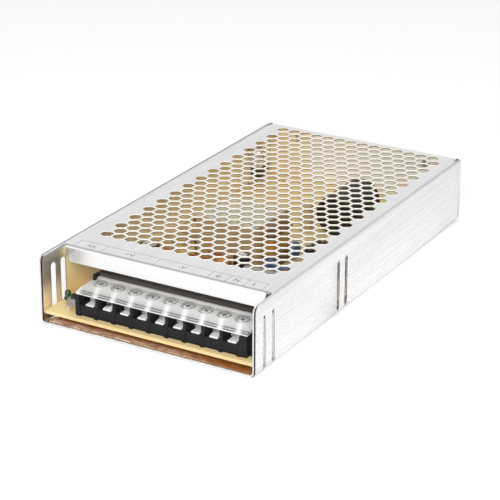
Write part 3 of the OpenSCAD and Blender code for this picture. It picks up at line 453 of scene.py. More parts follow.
# Painted highlight: a pale strip seen through the slots.
slot_highlight = grained("painted_slot_highlight", (0.95, 0.94, 0.91), (0.89, 0.88, 0.84), 0.7, (900, 900, 900), specular=0.2)
backing = bmesh.new()
bmesh.ops.create_cube(backing, size=1.0)
bmesh.ops.scale(backing, vec=LINER_HIGH - LINER_LOW, verts=backing.verts)
bmesh.ops.translate(backing, vec=(LINER_LOW + LINER_HIGH) / 2, verts=backing.verts)
corners = [edge for edge in backing.edges if edge.verts[0].co.x != edge.verts[1].co.x]
bmesh.ops.bevel(backing, geom=corners, offset=LINER_CORNER, segments=LINER_STEPS, profile=0.5, affect="EDGES")


def new_piece(name, shape, finishes):
    """Object of a finished bmesh, smooth between its sharp edges."""
    mesh = bpy.data.meshes.new(name)
    shape.to_mesh(mesh)
    shape.free()
    for finish in finishes:
        mesh.materials.append(finish)
    mesh.shade_smooth()
    mesh.set_sharp_from_angle(angle=SMOOTH_ANGLE)
    piece = bpy.data.objects.new(name, mesh)
    scene.collection.objects.link(piece)
    return piece


slot_backing = new_piece("slot_highlight_strip", backing, [slot_highlight])
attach(slot_backing, "case")


# Terminal block. A black moulded strip with nine cells, its edges rounded by the
# mould, soldered to the board. Its rear bar is painted paler, a painted reflection
# of the cover's lip.
MOULD_ROUND = 0.1 * MM
REAR_BAR_SHEEN_Y = (-86.5 * MM, -85.2 * MM)
moulded = grained("black_moulding", (0.014, 0.0145, 0.016), (0.008, 0.0083, 0.009), 0.5, (1200, 1200, 1200),
                  specular=0.2)
# Painted reflection: the rear bar paler.
shaded(moulded, ramp(moulded, "Y", *REAR_BAR_SHEEN_Y), (0.085, 0.075, 0.068))
strip = eased_copy("terminal_base", "moulded_strip", MOULD_ROUND, [moulded])
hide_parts("terminal_base")
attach(strip, "case")


# Terminal plates, clamp washers and screws. Stamped and tinned, with a soft
# bright skin. Each plate has a narrow tongue, and the screws have high cross heads
# that reach up into the holes of the lid.
STAMPED_ROUND = 0.15 * MM
CELL_PITCH = 9.5 * MM
FIRST_CELL_X = -33.75 * MM
TONGUE_Y = -97 * MM
TONGUE_TRIM = 0.9 * MM
SCREW_Y = -91.9 * MM
HEAD_FOOT = 14.05 * MM
HEAD_TOP = 19.3 * MM
HEAD_R = 2.25 * MM
HEAD_EASE = 0.5 * MM
HEAD_NIP = 0.15 * MM
SHANK_R = 1.75 * MM
SCREW_STEPS = 24
CROSS_TURN = 0.65
CROSS_SLITS = (Vector((1.45 * MM, 0.3 * MM, 0.06 * MM)), Vector((0.3 * MM, 1.45 * MM, 0.05 * MM)))
CELLS = 9
HEAD_SKIN, CROSS_SKIN = range(2)


def lathed(shape, profile, centre, steps, material_of):
    """Adds a solid of revolution to a bmesh. The profile runs from the axis to the axis, from below to above."""
    rings = []
    for r, z in profile:
        if r == 0:
            rings.append([shape.verts.new((centre.x, centre.y, z))])
        else:
            rings.append([shape.verts.new((centre.x + r * math.cos(math.tau * i / steps),
                                           centre.y + r * math.sin(math.tau * i / steps), z))
                          for i in range(steps)])
    for below in range(len(rings) - 1):
        low, high = rings[below], rings[below + 1]
        for i in range(steps):
            j = (i + 1) % steps
            corners = [low[i % len(low)], low[j % len(low)], high[j % len(high)], high[i % len(high)]]
            face = shape.faces.new(list(dict.fromkeys(corners)))
            face.material_index = material_of(below, math.tau * (i + 0.5) / steps)


def paint(verts, finish):
    """Gives the faces at some points of a bmesh one of its finishes."""
    for face in {face for vert in verts for face in vert.link_faces}:
        face.material_index = finish


def add_slit(shape, reach, turn, spot, finish):
    """Adds a thin block to a bmesh, turned about the upright axis, to show a slit or a score."""
    block = bmesh.ops.create_cube(shape, size=2.0)["verts"]
    bmesh.ops.scale(shape, vec=reach, verts=block)
    bmesh.ops.rotate(shape, cent=Vector(), matrix=Matrix.Rotation(turn, 3, "Z"), verts=block)
    bmesh.ops.translate(shape, vec=spot, verts=block)
    paint(block, finish)


tinned = grained("bright_tin", (0.96, 0.96, 0.95), (0.88, 0.88, 0.87), 0.34, (500, 500, 500), metallic=0.25)
plates = eased_copy("terminal_plates", "tinned_plates", STAMPED_ROUND, [tinned])
for vert in plates.data.vertices:
    aside = (vert.co.x - FIRST_CELL_X + CELL_PITCH / 2) % CELL_PITCH - CELL_PITCH / 2
    if vert.co.y < TONGUE_Y and aside < 0:
        vert.co.x += TONGUE_TRIM
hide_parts("terminal_plates")
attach(plates, "case")
nickel = grained("bright_nickel", (0.96, 0.96, 0.95), (0.86, 0.86, 0.85), 0.3, (600, 600, 600), metallic=0.2)
recess = grained("cross_recess", (0.07, 0.07, 0.07), (0.04, 0.04, 0.04), 0.5, (600, 600, 600))
for cell in range(CELLS):
    node = f"terminal_screw_{cell + 1}"
    dress(f"terminal_washer_{cell + 1}", tinned)
    middle = Vector((FIRST_CELL_X + cell * CELL_PITCH, SCREW_Y, 0))
    tip = min(vert.co.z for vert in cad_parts[node].data.vertices)
    turned = bmesh.new()
    lathed(turned, [(0, tip), (SHANK_R, tip), (SHANK_R, HEAD_FOOT), (HEAD_R, HEAD_FOOT),
                    (HEAD_R, HEAD_TOP - HEAD_EASE), (HEAD_R - HEAD_NIP, HEAD_TOP - HEAD_NIP),
                    (HEAD_R - HEAD_EASE, HEAD_TOP), (0, HEAD_TOP)], middle, SCREW_STEPS,
           lambda band, angle: HEAD_SKIN)
    for reach in CROSS_SLITS:
        add_slit(turned, reach, CROSS_TURN * cell, middle + Vector((0, 0, HEAD_TOP)), CROSS_SKIN)
    screw = new_piece(f"cross_screw_{cell + 1}", turned, [nickel, recess])
    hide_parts(node)
    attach(screw, node)


# Lid. A clear moulding that snaps on two pins and swings up, with a rimmed
# screwdriver hole over each screw. It is milky, with painted light towards the back
# under the cover's lip, painted shade on its hinge knuckle, and a pale streak of
# painted highlight that runs forward from each hole. A groove and the top of the
# front edge carry painted shade, and the front edge is painted dark above as
# painted shade and bright below as a painted highlight.
LID_ROUND = 0.16 * MM
LID_FRONT_Y = -101 * MM
LID_BACK_Y = -90 * MM
STREAK_HALF = 2.4 * MM
STREAK_SLANT = 0.43
STREAK_BACK_Y = -93.5 * MM
STREAK_FRONT_Y = -97 * MM
GROOVE_Y = (-101.85 * MM, -100.95 * MM)
PLAIN_Y = (-100.6 * MM, -99.6 * MM)
FRONT_EDGE_Y = -102.6 * MM
KNUCKLE_Y = (-89 * MM, -88.2 * MM)
FRONT_SHADE_Z = (17.85 * MM, 18.05 * MM)
FRONT_SHADE = (0.20, 0.20, 0.20)
CLOUD_SHADE = 0.94
KNUCKLE_SHADE = 0.85
PLASTIC_IOR = 1.49
UPRIGHT = 0.5
ROUNDED = 0.2
TOP_FACE, SIDE_WALL, SHADE_LINE, HIGHLIGHT_FRONT = range(4)


def clear_moulding(name, front, back, streak_highlight, alpha, shade_z=None):
    """Clear plastic that turns from a front to a back colour, with painted shade on the knuckle, painted shade
    above a height if one is given, and a pale streak of painted highlight in front of each hole.
    """
    finish = grained(name, front, tuple(CLOUD_SHADE * part for part in front), 0.14, (300, 300, 300), bump=0.03)
    tree = finish.node_tree
    tree.nodes["Principled BSDF"].inputs["IOR"].default_value = PLASTIC_IOR
    tree.nodes["Principled BSDF"].inputs["Alpha"].default_value = alpha
    shaded(finish, ramp(finish, "Y", LID_FRONT_Y, LID_BACK_Y), back)
    shaded(finish, ramp(finish, "Y", *KNUCKLE_Y), tuple(KNUCKLE_SHADE * part for part in back))
    if shade_z:
        shaded(finish, ramp(finish, "Z", *shade_z), FRONT_SHADE)
    slanted = reckoned(tree, "MULTIPLY_ADD", along(finish, "Y"), STREAK_SLANT, along(finish, "X"))
    aside = reckoned(tree, "SUBTRACT", slanted, FIRST_CELL_X + STREAK_SLANT * STREAK_BACK_Y)
    cell = reckoned(tree, "PINGPONG", aside, CELL_PITCH / 2)
    mark = both(finish, eased(finish, cell, STREAK_HALF, 0), ramp(finish, "Y", STREAK_BACK_Y, STREAK_FRONT_Y))
    shaded(finish, mark, streak_highlight)
    return finish


# Painted light: the clear lid lighter towards the back, under the cover's lip.
clear = clear_moulding("clear_moulding", (0.68, 0.68, 0.68), (0.90, 0.88, 0.85), (1.0, 1.0, 1.0), 0.68)
clear_wall = clear_moulding("clear_wall", (0.70, 0.70, 0.70), (0.60, 0.60, 0.60), (0.90, 0.90, 0.90), 0.3)
# Painted shade in the groove, along the front's top edge and on the upper part of the front edge; painted
# highlight on its lower part.
groove_shade = clear_moulding("painted_groove_shade", (0.16, 0.16, 0.16), (0.16, 0.16, 0.16), (0.90, 0.90, 0.90), 0.75)
front_highlight = clear_moulding("front_highlight", (0.95, 0.95, 0.95), (0.95, 0.95, 0.95), (1.0, 1.0, 1.0), 0.75,
                             FRONT_SHADE_Z)
lid = eased_copy("terminal_lid", "clear_lid", LID_ROUND, [clear, clear_wall, groove_shade, front_highlight],
                 finish_of=lambda face: SIDE_WALL if abs(face.normal.z) < UPRIGHT else TOP_FACE)
for face in lid.data.polygons:
    spot, way = face.center, face.normal
    at_front = spot.y < FRONT_EDGE_Y
    if GROOVE_Y[0] < spot.y < GROOVE_Y[1] or (at_front and way.y < -ROUNDED and way.z > ROUNDED):
        face.material_index = SHADE_LINE
    elif at_front and way.y < -SQUARE_ON:
        face.material_index = HIGHLIGHT_FRONT
    elif PLAIN_Y[0] < spot.y < PLAIN_Y[1] or spot.y > KNUCKLE_Y[0]:
        face.material_index = TOP_FACE
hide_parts("terminal_lid")
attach(lid, "terminal_lid")


# Trimmer and lamp beside the block: a grey body with a black slotted rotor, and
# a green lamp, both on tinned leads.
LEAD_TOP = 9.3 * MM


def on_leads(name, colour, shade, roughness, lead_top, tab_foot=None):
    """Finish of a moulded or dipped part, with tinned leads below a height, and a tinned tab above another."""
    finish = grained(name, colour, shade, roughness, (900, 900, 900))
    tree = finish.node_tree
    metal = ramp(finish, "Z", lead_top + EDGE_ROLL, lead_top)
    if tab_foot:
        metal = reckoned(tree, "MAXIMUM", metal, ramp(finish, "Z", tab_foot, tab_foot + EDGE_ROLL))
    shaded(finish, metal, (0.86, 0.85, 0.82))
    tree.links.new(metal, tree.nodes["Principled BSDF"].inputs["Metallic"])
    return finish


dress("trimmer_body", on_leads("grey_moulding", (0.27, 0.265, 0.27), (0.21, 0.205, 0.21), 0.4, LEAD_TOP))
dress("trimmer_rotor", grained("black_rotor", (0.02, 0.02, 0.021), (0.01, 0.01, 0.011), 0.35, (1500, 1500, 1500)))
dress("status_lamp", on_leads("green_lens", (0.035, 0.095, 0.02), (0.02, 0.055, 0.011), 0.12, LEAD_TOP))


# Electrolytic capacitors. Rolled aluminium cans in dark shrink sleeve, with a
# pale stripe down one side and a scored top. The large one lies on the board with
# its leads to the back, and the others stand. The one beside it has a tan sleeve.
def solids(name):
    """Lowest and highest corner of each separate solid of a CAD piece."""
    shape = bmesh.new()
    shape.from_mesh(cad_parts[name].data)
    bmesh.ops.remove_doubles(shape, verts=shape.verts, dist=WELD)
    left = set(shape.verts)
    boxes = []
    while left:
        ring = [left.pop()]
        found = list(ring)
        while ring:
            for edge in ring.pop().link_edges:
                for vert in edge.verts:
                    if vert in left:
                        left.remove(vert)
                        ring.append(vert)
                        found.append(vert)
        low = Vector([min(v.co[i] for v in found) for i in range(3)])
        high = Vector([max(v.co[i] for v in found) for i in range(3)])
        boxes.append((low, high))
    shape.free()
    return sorted(boxes, key=lambda box: (round(box[0].x, 5), round(box[0].y, 5)))


CAN_STEPS = 48
STRIPE_HALF = math.radians(24)
STRIPE_TURN = math.radians(200)
LEAD_R = 0.35 * MM
PIN_R = 0.6 * MM
LEAD_OUT = 1.5 * MM
LEAD_STEP = 5 * MM
LEAD_DROP = 3 * MM
ROD_SIDES = 12
SCORE_SHARE = 0.55
SCORE_HALF = 0.15 * MM
SCORE_RISE = 0.12 * MM
TOP_SUNK = 0.5 * MM
SKIN, CAN_TOP, STRIPE, OTHER_SKIN = range(4)
sleeve = grained("dark_sleeve", (0.032, 0.022, 0.02), (0.018, 0.012, 0.011), 0.42, (300, 300, 300), specular=0.35)
tan_sleeve = grained("tan_sleeve", (0.62, 0.47, 0.25), (0.52, 0.39, 0.20), 0.45, (300, 300, 300))
bare_top = grained("bare_can_top", (0.82, 0.82, 0.80), (0.68, 0.68, 0.66), 0.35, (500, 500, 500), metallic=0.8)
stripe = grained("printed_stripe", (0.42, 0.40, 0.37), (0.34, 0.32, 0.29), 0.45, (400, 400, 400))


def add_can(shape, centre, foot, top, r, skin=SKIN):
    """Adds an upright can to a bmesh: crimped foot, round shoulder, sunk top scored with a cross."""
    profile = [(0, foot), (r - 0.5 * MM, foot), (r - 0.1 * MM, foot + 0.15 * MM), (r, foot + 0.5 * MM),
               (r, foot + 1.4 * MM), (r - 0.35 * MM, foot + 1.7 * MM), (r - 0.5 * MM, foot + 2.0 * MM),
               (r - 0.35 * MM, foot + 2.3 * MM), (r, foot + 2.6 * MM), (r, top - 0.8 * MM),
               (r - 0.1 * MM, top - 0.4 * MM), (r - 0.4 * MM, top - 0.1 * MM), (r - 0.8 * MM, top),
               (r - 1.3 * MM, top), (r - 1.5 * MM, top - 0.15 * MM), (r - 1.6 * MM, top - TOP_SUNK),
               (0, top - TOP_SUNK)]
    wall, cap = 8, len(profile) - 4

    def skin_of(band, angle):
        if band >= cap:
            return CAN_TOP
        return STRIPE if band == wall and abs(angle - STRIPE_TURN) < STRIPE_HALF else skin

    lathed(shape, profile, centre, CAN_STEPS, skin_of)
    for reach in ((SCORE_SHARE * r, SCORE_HALF, SCORE_RISE), (SCORE_HALF, SCORE_SHARE * r, SCORE_RISE)):
        add_slit(shape, Vector(reach), 0, Vector((centre.x, centre.y, top - TOP_SUNK)), CAN_TOP)


def add_rod(shape, start, end, r, finish):
    """Adds a short round rod to a bmesh."""
    run = end - start
    turn = run.to_track_quat("Z", "Y").to_matrix().to_4x4()
    rod = bmesh.ops.create_cone(shape, cap_ends=True, segments=ROD_SIDES, radius1=r, radius2=r, depth=run.length,
                                matrix=Matrix.Translation((start + end) / 2) @ turn)
    paint(rod["verts"], finish)


bulk = bmesh.new()
low, high = (Vector(corner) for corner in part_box("bulk_capacitor"))
r = (high.x - low.x) / 2
foot_y = high.y - LEAD_OUT - PIN_R
add_can(bulk, Vector((0, 0, 0)), 0, foot_y - low.y, r)
bulk.transform(Matrix.Translation((low.x + r, foot_y, high.z - r)) @ Matrix.Rotation(math.pi / 2, 4, "X"))
for side in (-1, 1):
    lead = Vector((low.x + r + side * LEAD_STEP, foot_y, high.z - r - LEAD_DROP))
    pin = lead + Vector((0, LEAD_OUT, 0))
    add_rod(bulk, lead, pin, LEAD_R, OTHER_SKIN)
    add_rod(bulk, Vector((pin.x, pin.y, low.z)), pin + Vector((0, 0, 2 * PIN_R)), PIN_R, OTHER_SKIN)
bulk_can = new_piece("bulk_can", bulk, [sleeve, sleeve, stripe, tinned])
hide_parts("bulk_capacitor")
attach(bulk_can, "case")
for source, name in (("output_capacitors", "output_cans"), ("small_capacitors", "small_cans")):
    cans = bmesh.new()
    for low, high in solids(source):
        skin = OTHER_SKIN if low.y > 0 else SKIN
        add_can(cans, (low + high) / 2, low.z, high.z, (high.x - low.x) / 2, skin)
    piece = new_piece(name, cans, [sleeve, bare_top, stripe, tan_sleeve])
    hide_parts(source)
    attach(piece, "case")


# Coils. Enamelled wire wound close round ring cores: deep orange on the output
# choke, near black on the line choke, whose two halves stand on a moulded base.
WIRE = 0.62 * MM
CORE_SHARE = 0.5
CORE_CORNER = 1.0 * MM
WIRE_FIT = 0.1 * MM
WIRE_SIDES = 8
TURN_STEPS = 3


def new_tree(name, counts, sizes):
    """Geometry Nodes tree with its named counts, sizes and finish, and the sockets that give them."""
    tree = bpy.data.node_groups.new(name, "GeometryNodeTree")
    for label in counts:
        tree.interface.new_socket(label, in_out="INPUT", socket_type="NodeSocketInt")
    for label in sizes:
        tree.interface.new_socket(label, in_out="INPUT", socket_type="NodeSocketFloat")
    tree.interface.new_socket("Finish", in_out="INPUT", socket_type="NodeSocketMaterial")
    tree.interface.new_socket("Made", in_out="OUTPUT", socket_type="NodeSocketGeometry")
    return tree, tree.nodes.new("NodeGroupInput").outputs


def round_bar(tree, path, radius, sides):
    """Socket of a round bar that follows a path."""
    section = tree.nodes.new("GeometryNodeCurvePrimitiveCircle")
    section.inputs["Resolution"].default_value = sides
    tree.links.new(radius, section.inputs["Radius"])
    bent = tree.nodes.new("GeometryNodeCurveToMesh")
    tree.links.new(path, bent.inputs["Curve"])
    tree.links.new(section.outputs["Curve"], bent.inputs["Profile Curve"])
    return bent.outputs["Mesh"]


def repeat_shape(tree, given, points, shape, turn=None):
    """Ends a tree with a shape at each point, as plain faces in the given finish."""
    placed = tree.nodes.new("GeometryNodeInstanceOnPoints")
    tree.links.new(points, placed.inputs["Points"])
    tree.links.new(shape, placed.inputs["Instance"])
    if turn is not None:
        tree.links.new(turn, placed.inputs["Rotation"])
    made = tree.nodes.new("GeometryNodeRealizeInstances")
    tree.links.new(placed.outputs["Instances"], made.inputs["Geometry"])
    painted = tree.nodes.new("GeometryNodeSetMaterial")
    tree.links.new(made.outputs["Geometry"], painted.inputs["Geometry"])
    tree.links.new(given["Finish"], painted.inputs["Material"])
    tree.links.new(painted.outputs["Geometry"], tree.nodes.new("NodeGroupOutput").inputs["Made"])


def ring_turns():
    """Geometry Nodes tree: turns of wire round a ring core, spread over a sweep of it."""
    tree, given = new_tree("ring_turns", ["Turns"],
                           ["Start", "Sweep", "Ring Radius", "Width", "Height", "Corner", "Wire Radius"])
    section = tree.nodes.new("GeometryNodeCurvePrimitiveQuadrilateral")
    tree.links.new(given["Width"], section.inputs["Width"])
    tree.links.new(given["Height"], section.inputs["Height"])
    rounded = tree.nodes.new("GeometryNodeFilletCurve")
    rounded.mode = "POLY"
    rounded.inputs["Count"].default_value = TURN_STEPS
    tree.links.new(section.outputs["Curve"], rounded.inputs["Curve"])
    tree.links.new(given["Corner"], rounded.inputs["Radius"])
    out = tree.nodes.new("ShaderNodeCombineXYZ")
    tree.links.new(given["Ring Radius"], out.inputs["X"])
    stood = tree.nodes.new("GeometryNodeTransform")
    stood.inputs["Rotation"].default_value = (math.pi / 2, 0, 0)
    tree.links.new(rounded.outputs["Curve"], stood.inputs["Geometry"])
    tree.links.new(out.outputs["Vector"], stood.inputs["Translation"])
    wire = round_bar(tree, stood.outputs["Geometry"], given["Wire Radius"], WIRE_SIDES)
    row = tree.nodes.new("GeometryNodeMeshLine")
    row.inputs["Offset"].default_value = (0, 0, 0)
    tree.links.new(given["Turns"], row.inputs["Count"])
    index = tree.nodes.new("GeometryNodeInputIndex").outputs["Index"]
    share = reckoned(tree, "DIVIDE", index, reckoned(tree, "SUBTRACT", given["Turns"], 1))
    about_z = tree.nodes.new("ShaderNodeCombineXYZ")
    tree.links.new(reckoned(tree, "MULTIPLY_ADD", share, given["Sweep"], given["Start"]), about_z.inputs["Z"])
    repeat_shape(tree, given, row.outputs["Mesh"], wire, about_z.outputs["Vector"])
    return tree


def grown(name, tree, values):
    """Plain mesh piece that a Geometry Nodes tree makes from named values."""
    piece = bpy.data.objects.new(name, bpy.data.meshes.new(name))
    scene.collection.objects.link(piece)
    maker = piece.modifiers.new("maker", "NODES")
    maker.node_group = tree
    for item in tree.interface.items_tree:
        if item.in_out == "INPUT":
            maker[item.identifier] = values[item.name]
    plain_mesh(piece)
    piece.data.shade_smooth()
    return piece


turns_tree = ring_turns()
orange_enamel = grained("orange_enamel", (0.56, 0.235, 0.06), (0.40, 0.15, 0.035), 0.3, (700, 700, 700),
                        metallic=0.35)
dark_enamel = grained("dark_enamel", (0.075, 0.05, 0.045), (0.045, 0.03, 0.027), 0.35, (700, 700, 700),
                      metallic=0.2)
COILS = {
    "output_choke": (orange_enamel, [(15, 330, 21)]),
    "line_choke": (dark_enamel, [(20, 140, 9), (200, 140, 9)]),
}
for choke, (enamel, spans) in COILS.items():
    low, high = (Vector(corner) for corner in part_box(f"{choke}_core"))
    centre = (low + high) / 2
    outer = (high.x - low.x) / 2
    ring_in = outer * CORE_SHARE
    reach = 2 * (WIRE_FIT + WIRE)
    coil = bmesh.new()
    for start, sweep, turns in spans:
        part = grown("wire", turns_tree, {
            "Turns": turns, "Start": math.radians(start), "Sweep": math.radians(sweep),
            "Ring Radius": (outer + ring_in) / 2, "Width": outer - ring_in + reach,
            "Height": high.z - low.z + reach, "Corner": CORE_CORNER + reach / 2, "Wire Radius": WIRE,
            "Finish": enamel})
        part.data.transform(Matrix.Translation(centre))
        coil.from_mesh(part.data)
        bpy.data.objects.remove(part)
    winding = new_piece(f"{choke}_turns", coil, [enamel])
    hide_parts(f"{choke}_winding")
    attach(winding, "case")
dress("output_choke_core", grained("painted_core", (0.58, 0.46, 0.12), (0.47, 0.36, 0.08), 0.5, (900, 900, 900)))
dress("line_choke_core", grained("dark_ferrite", (0.05, 0.05, 0.06), (0.03, 0.03, 0.035), 0.5, (900, 900, 900)))
dress("line_choke_base", grained("choke_base", (0.02, 0.02, 0.02), (0.012, 0.012, 0.012), 0.4, (900, 900, 900)))


# Transformer. A ground ferrite core with a pale tape over its top and a brown one
# round its sides, on a phenolic bobbin whose winding is wrapped in amber tape.
CORE_TOP = (30.2 * MM, 29.6 * MM)
taped = grained("taped_core", (0.74, 0.67, 0.51), (0.64, 0.57, 0.42), 0.5, (300, 300, 300), specular=0.3)
shaded(taped, ramp(taped, "Z", *CORE_TOP), (0.57, 0.39, 0.215))
dress("transformer_core", taped)
dress("transformer_bobbin", grained("brown_phenolic", (0.20, 0.11, 0.05), (0.14, 0.075, 0.032), 0.45,
                                    (700, 700, 700)))
dress("transformer_winding", grained("amber_tape", (0.60, 0.36, 0.10), (0.48, 0.27, 0.06), 0.32, (120, 120, 900),
                                     bump=0.3, depth=0.1 * MM))


# Dipped discs and boxes on tinned leads: blue capacitors, a red-brown surge disc,
# a dark inrush disc, a grey box and a brown film capacitor.
DISC_LEADS = 10.5 * MM
dress("y_capacitors", on_leads("blue_dip", (0.07, 0.17, 0.36), (0.045, 0.12, 0.27), 0.28, DISC_LEADS))
dress("surge_varistor", on_leads("red_brown_dip", (0.42, 0.095, 0.03), (0.30, 0.06, 0.018), 0.3, DISC_LEADS))
dress("inrush_thermistor", on_leads("dark_dip", (0.05, 0.08, 0.06), (0.03, 0.055, 0.04), 0.4, DISC_LEADS))
dress("x_capacitor", grained("grey_box", (0.48, 0.48, 0.45), (0.40, 0.40, 0.37), 0.45, (900, 900, 900)))
dress("film_capacitor", grained("brown_dip", (0.30, 0.08, 0.03), (0.22, 0.05, 0.02), 0.3, (900, 900, 900)))


# Power devices on heat bars: black epoxy packages with tinned legs and tabs,
# screwed to sawn aluminium bars on soft grey pads.
DEVICE_LEGS = 11 * MM
DEVICE_TAB = 17 * MM
BRIDGE_LEGS = 10 * MM
epoxy = on_leads("black_epoxy", (0.035, 0.035, 0.036), (0.022, 0.022, 0.023), 0.45, DEVICE_LEGS, DEVICE_TAB)
dress("switching_transistors", epoxy)
dress("output_rectifiers", epoxy)
dress("bridge_rectifier", on_leads("bridge_epoxy", (0.04, 0.04, 0.04), (0.026, 0.026, 0.026), 0.45, BRIDGE_LEGS))
dress("heat_bars", grained("sawn_bar", (0.80, 0.80, 0.80), (0.66, 0.66, 0.67), 0.35, (60, 60, 1500), metallic=1.0))
dress("thermal_pads", grained("soft_pad", (0.56, 0.58, 0.60), (0.50, 0.52, 0.54), 0.7, (900, 900, 900)))


# Small parts. A ceramic fuse in plated spring clips, a moulded control chip and
# optocouplers, and lacquered resistors, all soldered to the board.
dress("fuse_body", grained("fuse_tube", (0.84, 0.82, 0.76), (0.76, 0.74, 0.68), 0.25, (900, 900, 900)))
dress("fuse_caps", nickel)
dress("fuse_clips", nickel)
dress("control_chip", grained("chip_epoxy", (0.028, 0.028, 0.03), (0.017, 0.017, 0.018), 0.45, (900, 900, 900)))
dress("optocouplers", grained("coupler_epoxy", (0.03, 0.03, 0.032), (0.02, 0.02, 0.021), 0.45, (900, 900, 900)))
dress("power_resistors", grained("resistor_lacquer", (0.62, 0.46, 0.26), (0.54, 0.38, 0.2), 0.4, (900, 900, 900)))


# Cover. A thinner satin sheet, punched with a honeycomb and folded down at its
# edges. Each hole has a low round rim in cream, a painted highlight on its edge,
# and its walls carry painted shade. The front bend carries a painted shade line,
# the back bend painted grey shade, and the inner faces of the skirt the painted
# light and shade of the chassis' inside.
COVER_TOP = 34.5 * MM
HOLE_PITCH = 6.835 * MM
HOLE_ROW = 6.09 * MM
HOLE_FLATS = 5.9 * MM
HOLE_COLUMNS = 14
HOLE_ROWS = 29
HOLE_LEFT = -44.886 * MM
HOLE_BACK = 100.794 * MM
RIM_WIRE = 0.2 * MM
EDGE_LOW = 33.8 * MM
EDGE_FRONT = -82 * MM
EDGE_SIDE = 51 * MM
BACK_BEND = 106.4 * MM
BEND_Y = (-88.6 * MM, -89.8 * MM)
BEND_Z = (34.28 * MM, 34.42 * MM)
BEND_WAY = (0.05, 0.95)
HOLE_SIDES = 6
RIM_SIDES = 6
SATIN, HOLE_SHADE, BENT, SKIRT = range(4)


def punched_rims():
    """Geometry Nodes tree: a low six-sided rim round each hole of a staggered field."""
    tree, given = new_tree("punched_rims", ["Columns", "Rows"], ["Pitch", "Row Step", "Tip Radius", "Rim"])

    def sum_of(kind, *values):
        return reckoned(tree, kind, *values)

    points = tree.nodes.new("GeometryNodeMeshLine")
    points.inputs["Offset"].default_value = (0, 0, 0)
    tree.links.new(sum_of("MULTIPLY", given["Columns"], given["Rows"]), points.inputs["Count"])
    index = tree.nodes.new("GeometryNodeInputIndex").outputs["Index"]
    row = sum_of("FLOOR", sum_of("DIVIDE", sum_of("ADD", index, 0.5), given["Columns"]))
    column = sum_of("SUBTRACT", index, sum_of("MULTIPLY", row, given["Columns"]))
    stagger = sum_of("MULTIPLY", sum_of("MODULO", row, 2), 0.5)
    spot = tree.nodes.new("ShaderNodeCombineXYZ")
    tree.links.new(sum_of("MULTIPLY", sum_of("ADD", column, stagger), given["Pitch"]), spot.inputs["X"])
    tree.links.new(sum_of("MULTIPLY", sum_of("MULTIPLY", row, given["Row Step"]), -1), spot.inputs["Y"])
    spread = tree.nodes.new("GeometryNodeSetPosition")
    tree.links.new(points.outputs["Mesh"], spread.inputs["Geometry"])
    tree.links.new(spot.outputs["Vector"], spread.inputs["Position"])
    outline = tree.nodes.new("GeometryNodeCurvePrimitiveCircle")
    outline.inputs["Resolution"].default_value = HOLE_SIDES
    tree.links.new(given["Tip Radius"], outline.inputs["Radius"])
    turned = tree.nodes.new("GeometryNodeTransform")
    turned.inputs["Rotation"].default_value = (0, 0, math.pi / HOLE_SIDES)
    tree.links.new(outline.outputs["Curve"], turned.inputs["Geometry"])
    rim = round_bar(tree, turned.outputs["Geometry"], given["Rim"], RIM_SIDES)
    repeat_shape(tree, given, spread.outputs["Geometry"], rim)
    return tree


satin = grained("satin_aluminium", (0.93, 0.93, 0.935), (0.86, 0.86, 0.865), 0.36,
                (700, 30, 700), metallic=1.0, bump=0.06, depth=0.01 * MM)
# Painted shade: a dark line along the front bend.
shaded(satin, both(satin, ramp(satin, "Y", *BEND_Y), ramp(satin, "Z", *BEND_Z)), (0.50, 0.50, 0.505))
dress("cover", satin)
# Painted shade on the walls of the holes.
hole_wall_shade = grained("painted_hole_wall_shade", (0.27, 0.23, 0.17), (0.20, 0.17, 0.12), 0.5, (900, 900, 900), metallic=0.2)
# Painted highlight: the cream rims on the hole edges.
rim_highlight = grained("painted_rim_highlight", (1.0, 0.955, 0.86), (0.96, 0.91, 0.80), 0.4, (900, 900, 900), metallic=0.1)
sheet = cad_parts["cover"].data
for finish in (hole_wall_shade, grey_edge_shade, inside):
    sheet.materials.append(finish)
for face in sheet.polygons:
    spot, way = face.center, face.normal
    if abs(way.z) < OBLIQUE and spot.z > EDGE_LOW and spot.y > EDGE_FRONT:
        face.material_index = HOLE_SHADE if abs(spot.x) < EDGE_SIDE else SATIN
    elif spot.y > BACK_BEND and BEND_WAY[0] < way.y < BEND_WAY[1]:
        face.material_index = BENT
    elif abs(way.x) > SQUARE_ON and way.x * spot.x < 0:
        face.material_index = SKIRT
rims = grown("punched_rims", punched_rims(), {
    "Columns": HOLE_COLUMNS, "Rows": HOLE_ROWS, "Pitch": HOLE_PITCH, "Row Step": HOLE_ROW,
    "Tip Radius": HOLE_FLATS / math.sqrt(3) + RIM_WIRE / 2, "Rim": RIM_WIRE, "Finish": rim_highlight})
rims.data.transform(Matrix.Translation((HOLE_LEFT, HOLE_BACK, COVER_TOP - RIM_WIRE / 2)))
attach(rims, "case")


# Corner beads. A dark dab in the open relief at each back corner of the cover:
# painted shade in the gap.
BEAD_X, BEAD_Y = 55.4 * MM, 106.9 * MM
BEAD_R = 0.6 * MM
BEAD_FOOT = 32.4 * MM
BEAD_PROFILE = [(0, BEAD_FOOT), (BEAD_R, BEAD_FOOT), (BEAD_R, COVER_TOP - 0.1 * MM),
                (0.6 * BEAD_R, COVER_TOP + 0.2 * MM), (0, COVER_TOP + 0.3 * MM)]
# Painted shade: a dark dab in each back corner relief.
relief_shade = grained("painted_relief_shade", (0.05, 0.05, 0.05), (0.03, 0.03, 0.03), 0.5, (900, 900, 900))
dabs = bmesh.new()
for side in (-1, 1):
    lathed(dabs, BEAD_PROFILE, Vector((side * BEAD_X, BEAD_Y, 0)), SCREW_STEPS, lambda band, angle: 0)
relief_dabs = new_piece("corner_relief_shade", dabs, [relief_shade])
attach(relief_dabs, "case")


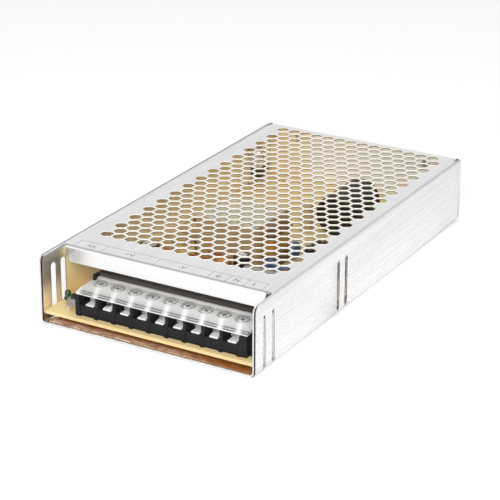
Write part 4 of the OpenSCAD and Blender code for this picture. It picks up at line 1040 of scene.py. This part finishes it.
# Terminal legend. Grey print on the plain strip above the terminals: a ruled
# table with one field for each group of terminals, and their usual marks.
PRINT_Z = COVER_TOP + 0.015 * MM
RULE = 0.22
TABLE_LEFT, TABLE_RIGHT = -50.3, 50.3
TABLE_FRONT, TABLE_BACK = -89.6, -82.0
FIELDS = (-35.2, -6.7, 21.8, 31.3, 40.8)
MARK_Y = -86.9
MARKS = {"+V": -21.8, "-V": 6.7, "N": 35.5, "L": 44.7}
MARK_SIZE = 4.2 * MM
NOTE_SIZE = 2.6 * MM
NOTE_X = -42.5
EARTH_X, EARTH_Y = 26.0, -85.6
EARTH_BARS = ((1.5, 0), (0.95, 0.75), (0.4, 1.5))
EARTH_RULE = 0.32
STEM_HALF, STEM_LENGTH = 0.15, 1.6
printed = grained("grey_print", (0.20, 0.20, 0.21), (0.13, 0.13, 0.14), 0.6, (900, 900, 900))
legend = bmesh.new()


def bar(left, right, front, rear):
    """Adds one printed bar to the legend, in millimetres."""
    corners = [(left, front), (right, front), (right, rear), (left, rear)]
    legend.faces.new([legend.verts.new((x * MM, y * MM, PRINT_Z)) for x, y in corners])


def mark(words, x, y, size):
    """Adds a printed mark to the legend, centred on x, in millimetres."""
    letters = bpy.data.curves.new("mark", "FONT")
    letters.body = words
    letters.size = size
    letters.align_x = "CENTER"
    stand = bpy.data.objects.new("mark", letters)
    scene.collection.objects.link(stand)
    flat = bpy.data.meshes.new_from_object(stand.evaluated_get(bpy.context.evaluated_depsgraph_get()))
    flat.transform(Matrix.Translation((x * MM, y * MM, PRINT_Z)))
    legend.from_mesh(flat)
    bpy.data.objects.remove(stand)


bar(TABLE_LEFT, TABLE_RIGHT, TABLE_BACK - RULE, TABLE_BACK)
for edge in (TABLE_LEFT, *FIELDS, TABLE_RIGHT):
    bar(edge - RULE / 2, edge + RULE / 2, TABLE_FRONT, TABLE_BACK - RULE)
for words, x in MARKS.items():
    mark(words, x, MARK_Y, MARK_SIZE)
mark("ADJ", NOTE_X, MARK_Y, NOTE_SIZE)
bar(EARTH_X - STEM_HALF, EARTH_X + STEM_HALF, EARTH_Y, EARTH_Y + STEM_LENGTH)
for half_width, fall in EARTH_BARS:
    bar(EARTH_X - half_width, EARTH_X + half_width, EARTH_Y - fall - EARTH_RULE, EARTH_Y - fall)
legend_print = new_piece("terminal_legend", legend, [printed])
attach(legend_print, "case")


# Sizes. The box of the finished part, without the floor.
low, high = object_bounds()
